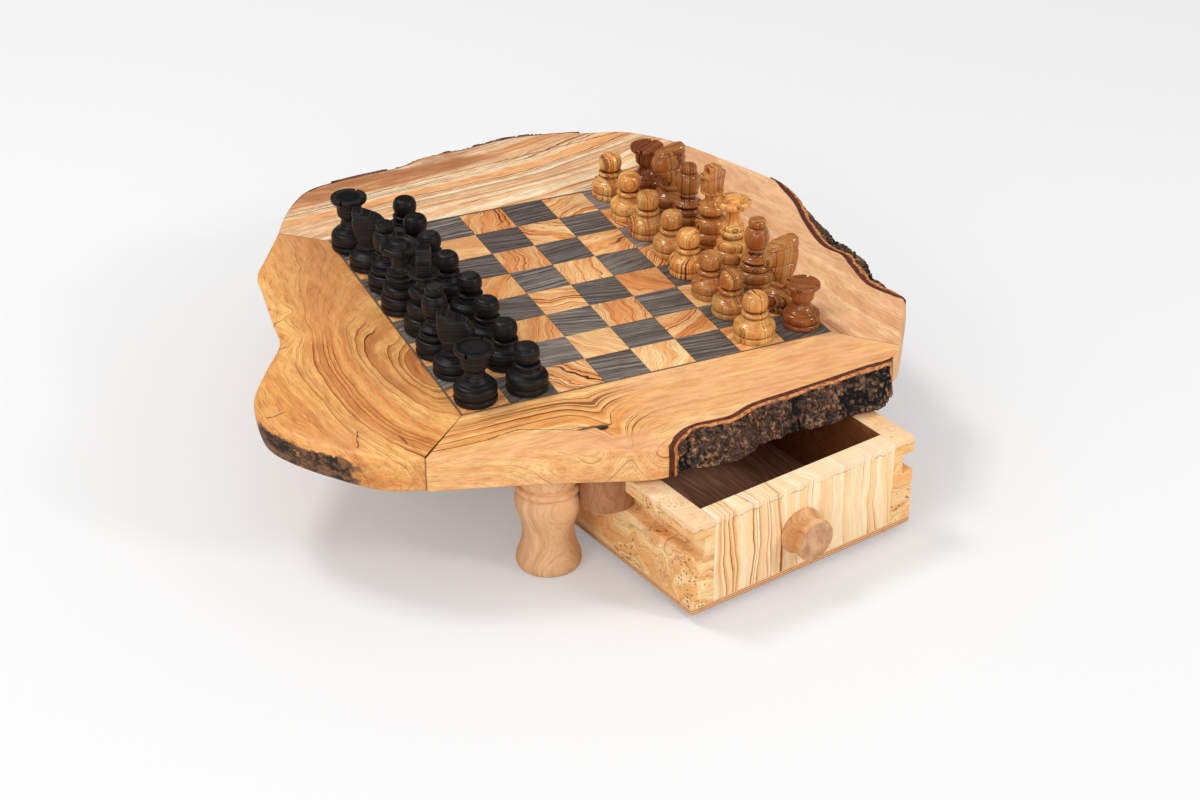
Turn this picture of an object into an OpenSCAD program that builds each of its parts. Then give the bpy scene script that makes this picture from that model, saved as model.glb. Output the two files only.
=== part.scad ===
// Live-edge olive wood chess board on turned feet, with a drawer under each end and its chessmen.
// Millimetres, +Z up, floor at Z = 0. The front drawer opens towards -Y, the back one towards +Y.

/* [Playing field] */
// Side of one square
square = 30; // [26:0.5:34]
// Thickness of the inlaid squares
square_t = 5; // [3:0.5:8]
// Joint left round each square
glue_gap = 0.1; // [0.05:0.05:0.3]
// Width of the dark line round the field
strip_w = 1.5; // [0.8:0.1:4]
// Turn of the playing field against the drawers, degrees
skew = 11.7; // [0:0.1:20]

/* [Slab] */
// Thickness of the live-edge slabs
slab_t = 22; // [18:1:30]
// Growth of the slab's outline beyond the one drawn
outline_grow = 0; // [-3:1:20]
// Depth of the bark's broken surface
bark_rough = 1.2; // [0:0.1:2]

/* [Turnings] */
// Fine step that the small steps of every turning are drawn in
fine = 0.1; // [0.08:0.01:0.12]

/* [Feet] */
// Height of a turned foot
foot_h = 68; // [66:1:90]
// Diameter of the foot's base and collars
foot_d = 39; // [34:1:44]
// Diameter of the foot's waist
foot_waist_d = 31; // [24:1:33]
// Height of the waist's narrowest place
foot_waist_z = 24; // [16:1:28]
// Height of the bulge above the waist
foot_bulge_z = 45; // [40:1:48]
// Height of the thin collar
foot_collar_z = 53; // [51:1:58]
// Foot's centre outside the drawer's side
foot_out = 29.8; // [28:0.1:37]
// Foot's distance from the middle, along the drawers
foot_y = 136; // [125:1:140]
// Diameter of the foot's tenon
tenon_d = 14; // [10:1:18]
// Length of the foot's tenon
tenon_l = 12; // [8:1:15]
// Glue clearance round a tenon or spigot
fit_gap = 0.1; // [0.05:0.05:0.3]

/* [Runner blocks] */
// Diameter of a turned runner block
block_d = 35; // [30:1:38]
// Height of a runner block
block_h = 25; // [23:0.5:28]
// Height of the tongue at the block's foot
tongue_h = 11.7; // [10:0.1:13]
// Outer blocks' distance from the middle
block_far_y = 154; // [146:1:158]
// Inner blocks' distance from the middle
block_near_y = 95; // [80:1:110]
// Block's centre outside the drawer's side
block_out = 1.6; // [0.5:0.1:4]
// Diameter of a block's spigot
spigot_d = 10; // [8:1:14]
// Length of a block's spigot
spigot_l = 10; // [6:1:14]

/* [Drawers] */
// Outer width of a drawer
drawer_w = 165; // [150:1:170]
// Outer length of a drawer
drawer_l = 168; // [150:1:180]
// Gap between the drawer and the floor
floor_gap = 5; // [4:0.5:8]
// Gap between the drawer and the slab
drawer_top_gap = 3; // [2:0.5:5]
// Thickness of the plywood bottom
ply_t = 4; // [3:0.5:6]
// Thickness of a side board
side_t = 15.5; // [12:0.5:20]
// Thickness of the front board
front_t = 13.5; // [12:0.5:20]
// Thickness of the back board
back_t = 12; // [8:0.5:16]
// Depth of the runner groove in a side board
groove_depth = 8.5; // [5:0.5:10]
// Gap between a tongue and the groove's floor
groove_gap = 0.5; // [0.3:0.1:1]
// Gap between a tongue and the groove's upper lip
hang_gap = 0.3; // [0.2:0.1:0.6]
// Gap between a block and the drawer's side
side_gap = 0.6; // [0.3:0.1:1.5]
// Distance that the front drawer stands open
front_open = 64.7; // [0:0.1:100]
// Gap between a closed drawer and the stop
stop_gap = 0.3; // [0.2:0.1:1]
// Thickness of the stop batten, along the drawers
stop_t = 23.4; // [16:0.1:30]
// Distance of the stop batten behind the board's middle
stop_y = 10; // [0:1:20]
// Length of the stop batten
stop_l = 120; // [80:1:140]
// Height of the stop batten
stop_h = 18; // [12:1:30]

/* [Knobs] */
// Diameter of the knob's face
knob_d = 26; // [20:1:32]
// Diameter of the knob's foot
knob_foot_d = 29; // [22:1:34]
// Diameter of the knob's waist
knob_waist_d = 24.5; // [16:0.5:26]
// Distance that the knob stands out
knob_l = 15; // [10:1:20]
// Knob's place left of the front's middle
knob_off = 4; // [0:1:10]
// Height of the knob's centre above the drawer's underside
knob_z = 28; // [22:1:34]
// Diameter of the knob's spigot
knob_spigot_d = 8; // [6:1:10]
// Length of the knob's spigot
knob_spigot_l = 10; // [6:1:11]

/* [Chessmen] */
// Height of the base disc of every man
base_h = 4.2; // [3:0.1:6]
// Height of the bead above the base disc
bead_h = 7; // [5:0.1:9]
// Depth of the grooves between turnings
groove_r = 1.3; // [0.6:0.1:2]

/* [Pawn] */
// Pawn's height
pawn_h = 29.5; // [27:0.5:34]
// Pawn's base diameter
pawn_d = 25.5; // [22:0.5:27]
// Pawn's collar diameter
pawn_collar_d = 16.4; // [13:0.1:19]
// Pawn's head diameter
pawn_head_d = 15.6; // [12:0.1:19]
// Diameter of the flat on a pawn's head
pawn_flat_d = 9; // [4:0.5:11]

/* [Rook] */
// Rook's height
rook_h = 33.5; // [31:0.5:38]
// Rook's base diameter
rook_d = 24.5; // [22:0.5:26]
// Rook's waist diameter
rook_waist_d = 9.5; // [7:0.5:12]
// Diameter of the cup under the rook's top
rook_cup_d = 15; // [12:0.5:18]
// Rook's top diameter
rook_top_d = 22.5; // [19:0.5:25]
// Thickness of the rook's top
rook_top_t = 4.6; // [3:0.1:6]
// Width of a cut in the rook's or queen's rim
rim_cut_w = 1.6; // [0.8:0.1:3]
// Depth of a cut in the rook's or queen's rim
rim_cut = 2.6; // [1:0.1:4]

/* [Knight] */
// Knight's height
knight_h = 45; // [40:0.5:50]
// Knight's base diameter
knight_d = 25.5; // [22:0.5:27]
// Diameter of the ring under the knight's head
knight_ring_d = 15; // [12:0.5:18]
// Length of the knight's head
knight_head_l = 23; // [18:0.5:26]
// Thickness of the knight's head
knight_head_t = 12; // [8:0.5:15]
// Width of the knight's neck
knight_neck_d = 10; // [8:0.5:13]

/* [Bishop] */
// Bishop's height
bishop_h = 45.5; // [42:0.5:52]
// Bishop's base diameter
bishop_d = 25; // [22:0.5:27]
// Bishop's skirt diameter
bishop_skirt_d = 19; // [16:0.5:22]
// Bishop's neck diameter
bishop_neck_d = 10; // [8:0.5:12]
// Bishop's head diameter
bishop_head_d = 16; // [13:0.5:19]
// Diameter of the button on a bishop's head
bishop_button_d = 11.5; // [8:0.5:13]
// Height of the button on a bishop's head
bishop_button_h = 5.5; // [4:0.1:7]

/* [Queen] */
// Queen's height
queen_h = 45.5; // [43:0.5:52]
// Queen's base diameter
queen_d = 26; // [23:0.5:27]
// Queen's lower collar diameter
queen_collar_d = 18.5; // [15:0.5:21]
// Queen's neck diameter
queen_neck_d = 10.4; // [8:0.1:12]
// Queen's crown diameter
queen_crown_d = 24; // [20:0.5:26]
// Thickness of the queen's crown
queen_crown_t = 5; // [3:0.1:6]
// Diameter of the button on the crown
queen_button_d = 9; // [6:0.5:12]

/* [King] */
// King's height
king_h = 56.5; // [53:0.5:62]
// King's base diameter
king_d = 25.5; // [23:0.5:27]
// King's bead diameter
king_bead_d = 18.5; // [14:0.5:21]
// Diameter of the disc under the black king's head
black_king_disc_d = 18; // [14:0.5:22]
// Diameter of the disc under the light king's head
light_king_disc_d = 15.6; // [14:0.1:22]
// King's neck diameter
king_neck_d = 9; // [7:0.5:12]
// Height of the king's head
king_head_h = 17; // [14:0.5:20]
// Width of the king's head at its top
king_head_w = 18; // [14:0.5:20]
// Thickness of the king's head
king_head_t = 8.5; // [6:0.1:10]

/* [Hidden] */
$fn = 64;
edge_steps = 4;
bead_steps = 8;
edge_layers = 4;
cut_extra = 1;
squares_across = 8;

// Outline of the slab seen from above, in the playing field's own axes, anticlockwise.
// Each point is [x, y, bark thickness there, lean: how far the edge stands out underneath].
LEFT_EDGE = [
    [-150, 145, 0, 0], [-169, 113, 0, -4], [-180, 93, 0, -9], [-184, 66, 0, -9],
    [-189, 30, 0, -9], [-193, 3, 0, -8], [-209, -23, 0, -5], [-226, -53, 0, -4],
    [-229, -80, 0, -3], [-220, -103, 0, -3], [-203, -127, 0, -3], [-181, -147, 0, 0],
];
FRONT_EDGE = [
    [-157, -158, 0, 0], [-125, -168, 0, 0], [-85, -181, 0, 0], [-45, -196, 0, 0],
    [-28, -200, 0, 0], [-16, -193, 3, 4], [-3, -188, 4, 9], [20, -188, 4, 8],
    [38, -181, 4, 6], [60, -178, 4, 7], [92, -174, 4, 10], [120, -170, 4, 12],
    [134, -168, 3, 5], [142, -162, 0, 0],
];
RIGHT_EDGE = [
    [152, -153, 0, 0], [170, -127, 0, 0], [183, -107, 0, 0], [184, -95, 5, 1],
    [181, -75, 9, 2], [187, -50, 12, 2], [188, -33, 11, 1], [186, -15, 14, 2],
    [186, 15, 9, 1], [191, 45, 6, 1], [193, 70, 5, 0], [189, 92, 0, 0],
    [176, 126, 0, 0],
];
BACK_EDGE = [
    [159, 165, 0, 0], [145, 186, 0, 0], [128, 202, 0, 0], [103, 211, 0, 0],
    [76, 221, 3, 1], [45, 225, 3, 2], [12, 221, 3, 1], [-20, 219, 3, 2],
    [-42, 211, 3, 1], [-66, 209, 3, 1], [-96, 206, 0, 0], [-114, 199, 0, 0],
    [-130, 181, 0, 0], [-141, 163, 0, 0],
];
CONTROL = concat(LEFT_EDGE, FRONT_EDGE, RIGHT_EDGE, BACK_EDGE);

// First and last step of the outline along each slab
left_from = 0;
front_from = len(LEFT_EDGE) * edge_steps;
right_from = front_from + len(FRONT_EDGE) * edge_steps;
back_from = right_from + len(RIGHT_EDGE) * edge_steps;
back_to = len(CONTROL) * edge_steps;

// Point of a smooth curve through four points, between the second and the third
function curve(a, b, c, d, t) =
    (2 * b + (c - a) * t + (2 * a - 5 * b + 4 * c - d) * t * t
     + (3 * b - a - 3 * c + d) * t * t * t) / 2;

function control(i) = CONTROL[(i + len(CONTROL)) % len(CONTROL)];

EDGE = [
    for (i = [0:len(CONTROL) - 1], s = [0:edge_steps - 1])
        curve(control(i - 1), control(i), control(i + 1), control(i + 2), s / edge_steps)
];

function edge_at(i) = EDGE[(i + len(EDGE)) % len(EDGE)];
function plan(p) = [p[0], p[1]];
function bark_at(i) = max(0, edge_at(i)[2]);
function lean_at(i) = edge_at(i)[3];

// Outward normal of the outline at a step
function outward(i) =
    let (along = plan(edge_at(i + 1)) - plan(edge_at(i - 1)))
    [along[1], -along[0]] / norm(along);

// Face of the wood and of the bark at a step; depth runs from 0 at the top to 1 underneath
function wood_face(i, depth) =
    plan(edge_at(i)) + outward(i) * (outline_grow + lean_at(i) * depth - bark_at(i));
function bark_face(i, depth) =
    let (wave = sin(i * 67 + depth * 400) + sin(i * 151 - depth * 230))
    plan(edge_at(i)) + outward(i) * (outline_grow + lean_at(i) * depth
                                     + min(bark_at(i) / 3, bark_rough) * wave / 2);

// Heights from the floor
slab_z = foot_h;
top_z = slab_z + slab_t;
field = squares_across * square;
opening = field / 2 + strip_w;
drawer_z = floor_gap;
drawer_h = slab_z - drawer_top_gap - drawer_z;
tongue_top_z = slab_z - block_h + tongue_h;
groove_z = slab_z - block_h - groove_gap - drawer_z;
groove_h = groove_gap + tongue_h + hang_gap;

// Places across and along the drawers, from the board's middle
block_x = drawer_w / 2 + block_out;
foot_x = drawer_w / 2 + foot_out;
front_face = drawer_l + stop_gap + stop_t / 2 - stop_y;
back_face = drawer_l + stop_gap + stop_t / 2 + stop_y;

// Box round everything at rest, which puts the origin under its middle
function turned_to_drawers(p) =
    [p[0] * cos(skew) + p[1] * sin(skew), p[1] * cos(skew) - p[0] * sin(skew)];
function layer_depth(k) = (k + 0.5) / edge_layers;
RIM = [
    for (k = [0:edge_layers - 1], i = [0:len(EDGE) - 1])
        turned_to_drawers(bark_at(i) > 0 ? bark_face(i, layer_depth(k))
                                         : wood_face(i, layer_depth(k)))
];
RIM_X = [for (p = RIM) p[0]];
RIM_Y = [for (p = RIM) p[1]];
front_tip = front_face + front_open + knob_l;
back_tip = back_face + knob_l;
mid_x = (max(RIM_X) + min(RIM_X)) / 2;
mid_y = (max(concat(RIM_Y, [back_tip])) + min(concat(RIM_Y, [-front_tip]))) / 2;

// The men in their opening places, from the front to the back of each row. Each is [kind,
// distances off its square's middle, width and height against those of its kind].
BLACK_ROW = [
    ["rook", -2, -2.5, 1.07, 1.06], ["knight", -2, 2.5, 1, 0.92], ["bishop", -3.5, -1.5, 1, 1],
    ["king", 1, -2, 1.08, 1], ["queen", -3.5, -1, 1.03, 1.05], ["bishop", -2, 0, 1, 1],
    ["knight", -3.5, 1.5, 1, 0.92], ["rook", -5.5, 1.5, 1.05, 1.11],
];
BLACK_PAWNS = [
    ["pawn", 0.5, -2.5, 1, 1], ["pawn", -0.5, -0.5, 1, 1], ["pawn", 0, -0.5, 1, 1],
    ["pawn", 1.5, 2, 1, 1], ["pawn", -1, 5, 1, 1], ["pawn", -1.5, 5, 1, 1],
    ["pawn", -1, 2, 1, 1], ["pawn", 1.5, -1, 1, 1],
];
LIGHT_PAWNS = [
    ["pawn", 0.5, -2, 1.02, 1.02], ["pawn", 1, 1, 0.95, 0.97], ["pawn", 0, -2, 0.93, 1],
    ["pawn", 0.5, 0.5, 0.98, 1.02], ["pawn", 2.5, -0.5, 0.95, 1], ["pawn", 0, 0.5, 1, 1.03],
    ["pawn", 0, 0, 1, 1.05], ["pawn", 1.5, 4, 1, 1.03],
];
LIGHT_ROW = [
    ["rook", 4, 0, 0.96, 0.87], ["knight", 4, -3.5, 1, 1.06], ["bishop", 3, -0.5, 1, 1],
    ["queen", 1.5, -0.5, 0.94, 1.07], ["king", 1.5, 0, 1, 1], ["bishop", -1.5, -1, 1, 1],
    ["knight", 0.5, -0.5, 1, 1.03], ["rook", -2.5, 1, 1.03, 1],
];
function man_name(side, kind, rank) =
    str(side, "_", kind == "pawn" ? str("pawn_", rank + 1)
                   : kind == "king" || kind == "queen" ? kind
                   : str(kind, rank < squares_across / 2 ? "_front" : "_back"));

// Adds each man's name, its side and the square that it stands on
function row_of(side, file, row) = [
    for (rank = [0:len(row) - 1])
        concat([man_name(side, row[rank][0], rank), side, file, rank], row[rank])
];
MEN = concat(row_of("black", 0, BLACK_ROW), row_of("black", 1, BLACK_PAWNS),
             row_of("light", squares_across - 2, LIGHT_PAWNS),
             row_of("light", squares_across - 1, LIGHT_ROW));

// Everything is drawn about the middle of the playing field and moved to the origin here
module placed() {
    translate([-mid_x, -mid_y, 0]) children();
}

// Turns what is drawn in the playing field's axes into those of the drawers
module on_field() {
    rotate([0, 0, -skew]) children();
}

// Solid of revolution through points [radius, height]
module turned(profile) {
    rotate_extrude() polygon(profile);
}

// Turned bead between two heights: swells from r0 to r_max and falls back to r1
function bead(z0, z1, r0, r_max, r1) = [
    for (i = [0:bead_steps])
        let (a = 180 * i / bead_steps, r_end = a < 90 ? r0 : r1)
        [r_end + (r_max - r_end) * sin(a), z0 + (z1 - z0) * (1 - cos(a)) / 2]
];

// ---- board ----

// Blind holes for the feet's tenons and the blocks' spigots, from below
module sockets() {
    for (sx = [-1, 1], sy = [-1, 1]) {
        translate([sx * foot_x, sy * foot_y, slab_z - cut_extra])
            cylinder(d = tenon_d + 2 * fit_gap, h = tenon_l + fit_gap + cut_extra);
        for (y = [block_near_y, block_far_y])
            translate([sx * block_x, sy * y, slab_z - cut_extra])
                cylinder(d = spigot_d + 2 * fit_gap, h = spigot_l + fit_gap + cut_extra);
    }
}

// One mitred slab: the outline from one mitre to the next, closed along the playing field.
// Its leaning edge is built in steps of depth.
module slab(first, last, corner_a, corner_b) {
    placed() difference() {
        on_field() for (k = [0:edge_layers - 1])
            translate([0, 0, top_z - (k + 1) * slab_t / edge_layers])
                linear_extrude(slab_t / edge_layers)
                    polygon(concat([for (i = [first:last]) wood_face(i, layer_depth(k))],
                                   [corner_b * opening, corner_a * opening]));
        sockets();
    }
}

module slab_front() {
    color("#c58c58") slab(front_from, right_from, [-1, -1], [1, -1]);
}

module slab_left() {
    color("#c98540") slab(left_from, front_from, [-1, 1], [-1, -1]);
}

module slab_back() {
    color("#d9ab72") slab(back_from, back_to, [1, 1], [-1, 1]);
}

module slab_right() {
    color("#c4905e") slab(right_from, back_from, [1, -1], [1, 1]);
}

// Bark left on the slabs from one step of the outline to another, broken a little at each depth
module bark(first, last) {
    steps = [for (i = [first:last]) if (bark_at(i) > 0) i];
    for (k = [0:edge_layers - 1])
        translate([0, 0, top_z - (k + 1) * slab_t / edge_layers])
            linear_extrude(slab_t / edge_layers)
                polygon(concat(
                    [wood_face(steps[0] - 1, layer_depth(k))],
                    [for (i = steps) bark_face(i, layer_depth(k))],
                    [wood_face(steps[len(steps) - 1] + 1, layer_depth(k))],
                    [for (n = [len(steps) - 1:-1:0]) wood_face(steps[n], layer_depth(k))]));
}

module bark_front() {
    color("#3b2f28") placed() on_field() bark(front_from, right_from);
}

module bark_sides() {
    color("#4a3226") placed() on_field() {
        bark(right_from, back_from);
        bark(back_from, back_to);
    }
}

// Plywood core that fills the frame of slabs and carries the squares
module core_board() {
    color("#b98f62") placed() difference() {
        on_field() translate([-opening, -opening, slab_z])
            cube([2 * opening, 2 * opening, slab_t - square_t]);
        sockets();
    }
}

// The squares of one colour: parity 0 holds the corner square at the front left
module squares(parity) {
    placed() on_field() for (i = [0:squares_across - 1], j = [0:squares_across - 1])
        if ((i + j) % 2 == parity)
            translate([i * square - field / 2 + glue_gap, j * square - field / 2 + glue_gap,
                       top_z - square_t])
                cube([square - 2 * glue_gap, square - 2 * glue_gap, square_t]);
}

module light_squares() {
    color("#d8a66c") squares(0);
}

module dark_squares() {
    color("#4b443e") squares(1);
}

module border_strip() {
    color("#6b5a49") placed() on_field() difference() {
        translate([-opening, -opening, top_z - square_t])
            cube([2 * opening, 2 * opening, square_t]);
        translate([-field / 2, -field / 2, top_z - square_t - cut_extra])
            cube([field, field, square_t + 2 * cut_extra]);
    }
}

// ---- feet ----

// Turned foot: flared base, waist, bulge, thin collar, shoulder under the slab, tenon
module foot(sx, sy) {
    r = foot_d / 2;
    edge = 1.5;
    waist_r = foot_waist_d / 2;
    collar_half = 3;
    color("#c39567") placed() translate([sx * foot_x, sy * foot_y, 0])
        turned(concat(
            [[0, 0], [r - edge, 0], [r, edge], [r - edge, 50 * fine]],
            [[waist_r + edge, foot_waist_z * 0.6], [waist_r, foot_waist_z],
             [waist_r + edge, (foot_waist_z + foot_bulge_z) / 2]],
            bead(foot_bulge_z - 50 * fine, foot_collar_z - collar_half,
                 r - 2 * edge, r, r - 2 * edge),
            bead(foot_collar_z - collar_half, foot_collar_z + collar_half,
                 r - 2 * edge, r, r - 2 * edge),
            [[r - edge, foot_h - 10 * fine], [r - edge, foot_h],
             [tenon_d / 2, foot_h], [tenon_d / 2, foot_h + tenon_l], [0, foot_h + tenon_l]]));
}

// ---- drawer runners ----

// Turned block cut flat above to clear the drawer's lip; below, its tongue reaches into the groove.
// side is -1 on the left. The outer blocks are relieved where they stand beside a foot.
module runner_block(side, y) {
    tongue_x = drawer_w / 2 - groove_depth + side_gap;
    lip_x = drawer_w / 2 + side_gap;
    relief = 0.5;
    difference() {
        translate([side * block_x, y, 0]) union() {
            translate([0, 0, slab_z - block_h]) cylinder(d = block_d, h = block_h);
            translate([0, 0, slab_z]) cylinder(d = spigot_d, h = spigot_l);
        }
        mirror([side < 0 ? 1 : 0, 0, 0]) {
            translate([0, y - block_d, tongue_top_z])
                cube([lip_x, 2 * block_d, slab_z - tongue_top_z]);
            translate([0, y - block_d, slab_z - block_h - cut_extra])
                cube([tongue_x, 2 * block_d, block_h + cut_extra]);
        }
        translate([side * foot_x, sign(y) * foot_y, slab_z - block_h - cut_extra])
            cylinder(d = foot_d + 2 * relief, h = block_h + cut_extra);
    }
}

module runner_blocks() {
    color("#bd9468") placed()
        for (side = [-1, 1], y = [-block_far_y, -block_near_y, block_near_y, block_far_y])
            runner_block(side, y);
}

// Batten under the core that both drawers close against
module centre_stop() {
    color("#b98f62") placed() translate([-stop_l / 2, stop_y - stop_t / 2, slab_z - stop_h])
        cube([stop_l, stop_t, stop_h]);
}

// ---- drawers ----

// Puts a drawer drawn with its face at y = 0 into its place at rest; front is 1, back is -1
module drawer_place(front) {
    placed() translate([0, front > 0 ? -front_face - front_open : back_face, drawer_z])
        rotate([0, 0, front > 0 ? 0 : 180]) children();
}

// Side board with the runner groove along its outer face, open at both ends
module drawer_side(side) {
    difference() {
        translate([side * (drawer_w - side_t) / 2 - side_t / 2, 0, ply_t])
            cube([side_t, drawer_l, drawer_h - ply_t]);
        translate([side * (drawer_w / 2 - groove_depth / 2 + cut_extra / 2)
                   - (groove_depth + cut_extra) / 2, -cut_extra, groove_z])
            cube([groove_depth + cut_extra, drawer_l + 2 * cut_extra, groove_h]);
    }
}

// Front board between the sides, bored for the knob's spigot
module drawer_front_board() {
    difference() {
        translate([side_t - drawer_w / 2, 0, ply_t])
            cube([drawer_w - 2 * side_t, front_t, drawer_h - ply_t]);
        translate([-knob_off, -cut_extra, knob_z]) rotate([-90, 0, 0])
            cylinder(d = knob_spigot_d + 2 * fit_gap, h = knob_spigot_l + fit_gap + cut_extra);
    }
}

module drawer_back_board() {
    translate([side_t - drawer_w / 2, drawer_l - back_t, ply_t])
        cube([drawer_w - 2 * side_t, back_t, drawer_h - ply_t]);
}

module drawer_bottom() {
    translate([-drawer_w / 2, 0, 0]) cube([drawer_w, drawer_l, ply_t]);
}

// Turned knob with its spigot, standing out from the front board
module knob() {
    edge = 1.2;
    translate([-knob_off, 0, knob_z]) rotate([90, 0, 0])
        turned([
            [0, -knob_spigot_l], [knob_spigot_d / 2, -knob_spigot_l], [knob_spigot_d / 2, 0],
            [knob_foot_d / 2, 0], [knob_foot_d / 2, 15 * fine],
            [knob_waist_d / 2 + edge, 35 * fine],
            [knob_waist_d / 2, knob_l / 2], [knob_d / 2, knob_l - 3 * edge],
            [knob_d / 2, knob_l - edge], [knob_d / 2 - edge, knob_l], [0, knob_l]
        ]);
}

module front_drawer_front() { color("#e0b880") drawer_place(1) drawer_front_board(); }
module front_drawer_back() { color("#b08a62") drawer_place(1) drawer_back_board(); }
module front_drawer_left() { color("#dcb27a") drawer_place(1) drawer_side(-1); }
module front_drawer_right() { color("#dcb27a") drawer_place(1) drawer_side(1); }
module front_drawer_bottom() { color("#a8744c") drawer_place(1) drawer_bottom(); }
module front_drawer_knob() { color("#c99f6a") drawer_place(1) knob(); }
module back_drawer_front() { color("#e0b880") drawer_place(-1) drawer_front_board(); }
module back_drawer_back() { color("#b08a62") drawer_place(-1) drawer_back_board(); }
module back_drawer_left() { color("#dcb27a") drawer_place(-1) drawer_side(-1); }
module back_drawer_right() { color("#dcb27a") drawer_place(-1) drawer_side(1); }
module back_drawer_bottom() { color("#a8744c") drawer_place(-1) drawer_bottom(); }
module back_drawer_knob() { color("#c99f6a") drawer_place(-1) knob(); }

// ---- chessmen ----
// Every man is made to a width w and a height h against those of its kind.

// Base disc and bead that every man stands on
function man_base(d) = concat(
    [[0, 0]],
    bead(0, base_h, d / 2 - groove_r / 2, d / 2, d / 2 - groove_r),
    bead(base_h, base_h + bead_h, d / 2 - groove_r, d / 2, d / 2 - 2 * groove_r));
shoulder_z = base_h + bead_h;

function sized(points, w, h) = [for (p = points) [p[0] * w, p[1] * h]];

// Flat block of thickness t, cut to an outline of [along, up] and centred on the man's axis
module cut_block(outline, t) {
    translate([0, t / 2, 0]) rotate([90, 0, 0]) linear_extrude(t) polygon(outline);
}

// Cuts across the rim of a rook or queen, evenly spaced
module rim_cuts(d, z, count) {
    for (n = [0:count - 1])
        rotate([0, 0, n * 360 / count + 45])
            translate([d / 2 - rim_cut, -rim_cut_w / 2, z - rim_cut])
                cube([rim_cut + cut_extra, rim_cut_w, rim_cut + cut_extra]);
}

module pawn(w, h) {
    collar_z = shoulder_z + 40 * fine;
    head_z = collar_z + 30 * fine;
    turned(sized(concat(
        man_base(pawn_d),
        [[pawn_collar_d / 2, collar_z - 15 * fine]],
        bead(collar_z, head_z, pawn_collar_d / 2 - groove_r, pawn_collar_d / 2,
             pawn_collar_d / 2 - 2 * groove_r),
        bead(head_z, pawn_h, pawn_head_d / 2 - 2 * groove_r, pawn_head_d / 2, pawn_flat_d / 2),
        [[0, pawn_h]]), w, h));
}

module rook(w, h) {
    top_under = rook_h - rook_top_t;
    waist_z = (shoulder_z + top_under) / 2;
    cup_r = rook_cup_d / 2;
    dish = 0.6;
    difference() {
        turned(sized(concat(
            man_base(rook_d),
            bead(shoulder_z - 10 * fine, shoulder_z + 10 * fine,
                 rook_d / 2 - 35 * fine, rook_d / 2 - 25 * fine, rook_d / 2 - 35 * fine),
            [[rook_waist_d / 2 + 25 * fine, waist_z - 20 * fine], [rook_waist_d / 2, waist_z],
             [rook_waist_d / 2 + 3 * fine, waist_z + 10 * fine],
             [cup_r - 6 * fine, waist_z + 30 * fine],
             [cup_r, top_under - 15 * fine], [cup_r - 4 * fine, top_under],
             [rook_top_d / 2 - 8 * fine, top_under + 12 * fine],
             [rook_top_d / 2, top_under + 22 * fine],
             [rook_top_d / 2, rook_h - 6 * fine], [rook_top_d / 2 - 7 * fine, rook_h],
             [rook_top_d / 2 - 25 * fine, rook_h - dish], [0, rook_h - dish]]), w, h));
        rim_cuts(rook_top_d * w, rook_h * h, 4);
    }
}

// Knight: turned base and ring, and a flat-sided head with a sloping crown and a snout
module knight(w, h) {
    head_z = shoulder_z + 30 * fine;
    head_h = knight_h - head_z;
    back_x = -0.42 * knight_head_l;
    snout_x = back_x + knight_head_l;
    neck_r = knight_neck_d / 2;
    turned(sized(concat(
        man_base(knight_d),
        bead(shoulder_z, head_z, knight_ring_d / 2 - groove_r, knight_ring_d / 2,
             neck_r + 10 * fine),
        [[neck_r, head_z + 8 * fine], [0, head_z + 8 * fine]]), w, h));
    translate([0, 0, head_z * h]) intersection() {
        cut_block(sized([[-neck_r, 0], [neck_r, 0], [neck_r + 15 * fine, head_h * 0.2],
                         [snout_x - 30 * fine, head_h * 0.4], [snout_x, head_h * 0.5],
                         [snout_x, head_h * 0.62], [snout_x - 20 * fine, head_h * 0.7],
                         [back_x + 50 * fine, head_h], [back_x + 20 * fine, head_h],
                         [back_x, head_h * 0.9], [back_x + 5 * fine, head_h * 0.6],
                         [-neck_r - 15 * fine, head_h * 0.25]], w, h), knight_head_t * w);
        translate([(back_x + snout_x) / 2 * 0.6 * w, 0, 0])
            turned(sized([[0, 0], [neck_r, 0], [neck_r + 25 * fine, head_h * 0.25],
                          [knight_head_l / 2 + 5 * fine, head_h * 0.6],
                          [knight_head_l / 2 + 10 * fine, head_h], [0, head_h]], w, h));
    }
}

module bishop(w, h) {
    ring_z = shoulder_z + 50 * fine;
    skirt_z = ring_z + 30 * fine;
    head_z = skirt_z + 70 * fine;
    button_z = bishop_h - bishop_button_h;
    neck_r = bishop_neck_d / 2;
    turned(sized(concat(
        man_base(bishop_d),
        bead(shoulder_z, ring_z, bishop_skirt_d / 2 - 5 * fine, bishop_skirt_d / 2 + 8 * fine,
             neck_r + 20 * fine),
        bead(ring_z + 6 * fine, skirt_z, neck_r + 20 * fine, bishop_skirt_d / 2,
             bishop_skirt_d / 2 - 15 * fine),
        [[neck_r + 5 * fine, skirt_z + 20 * fine], [neck_r, skirt_z + 35 * fine]],
        bead(head_z - 26 * fine, head_z, neck_r, neck_r + 18 * fine, neck_r + 5 * fine),
        bead(head_z, button_z, neck_r + 5 * fine, bishop_head_d / 2,
             bishop_button_d / 2 - groove_r),
        bead(button_z, bishop_h, bishop_button_d / 2 - groove_r, bishop_button_d / 2,
             bishop_button_d / 2 - groove_r),
        [[0, bishop_h]]), w, h));
}

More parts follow.
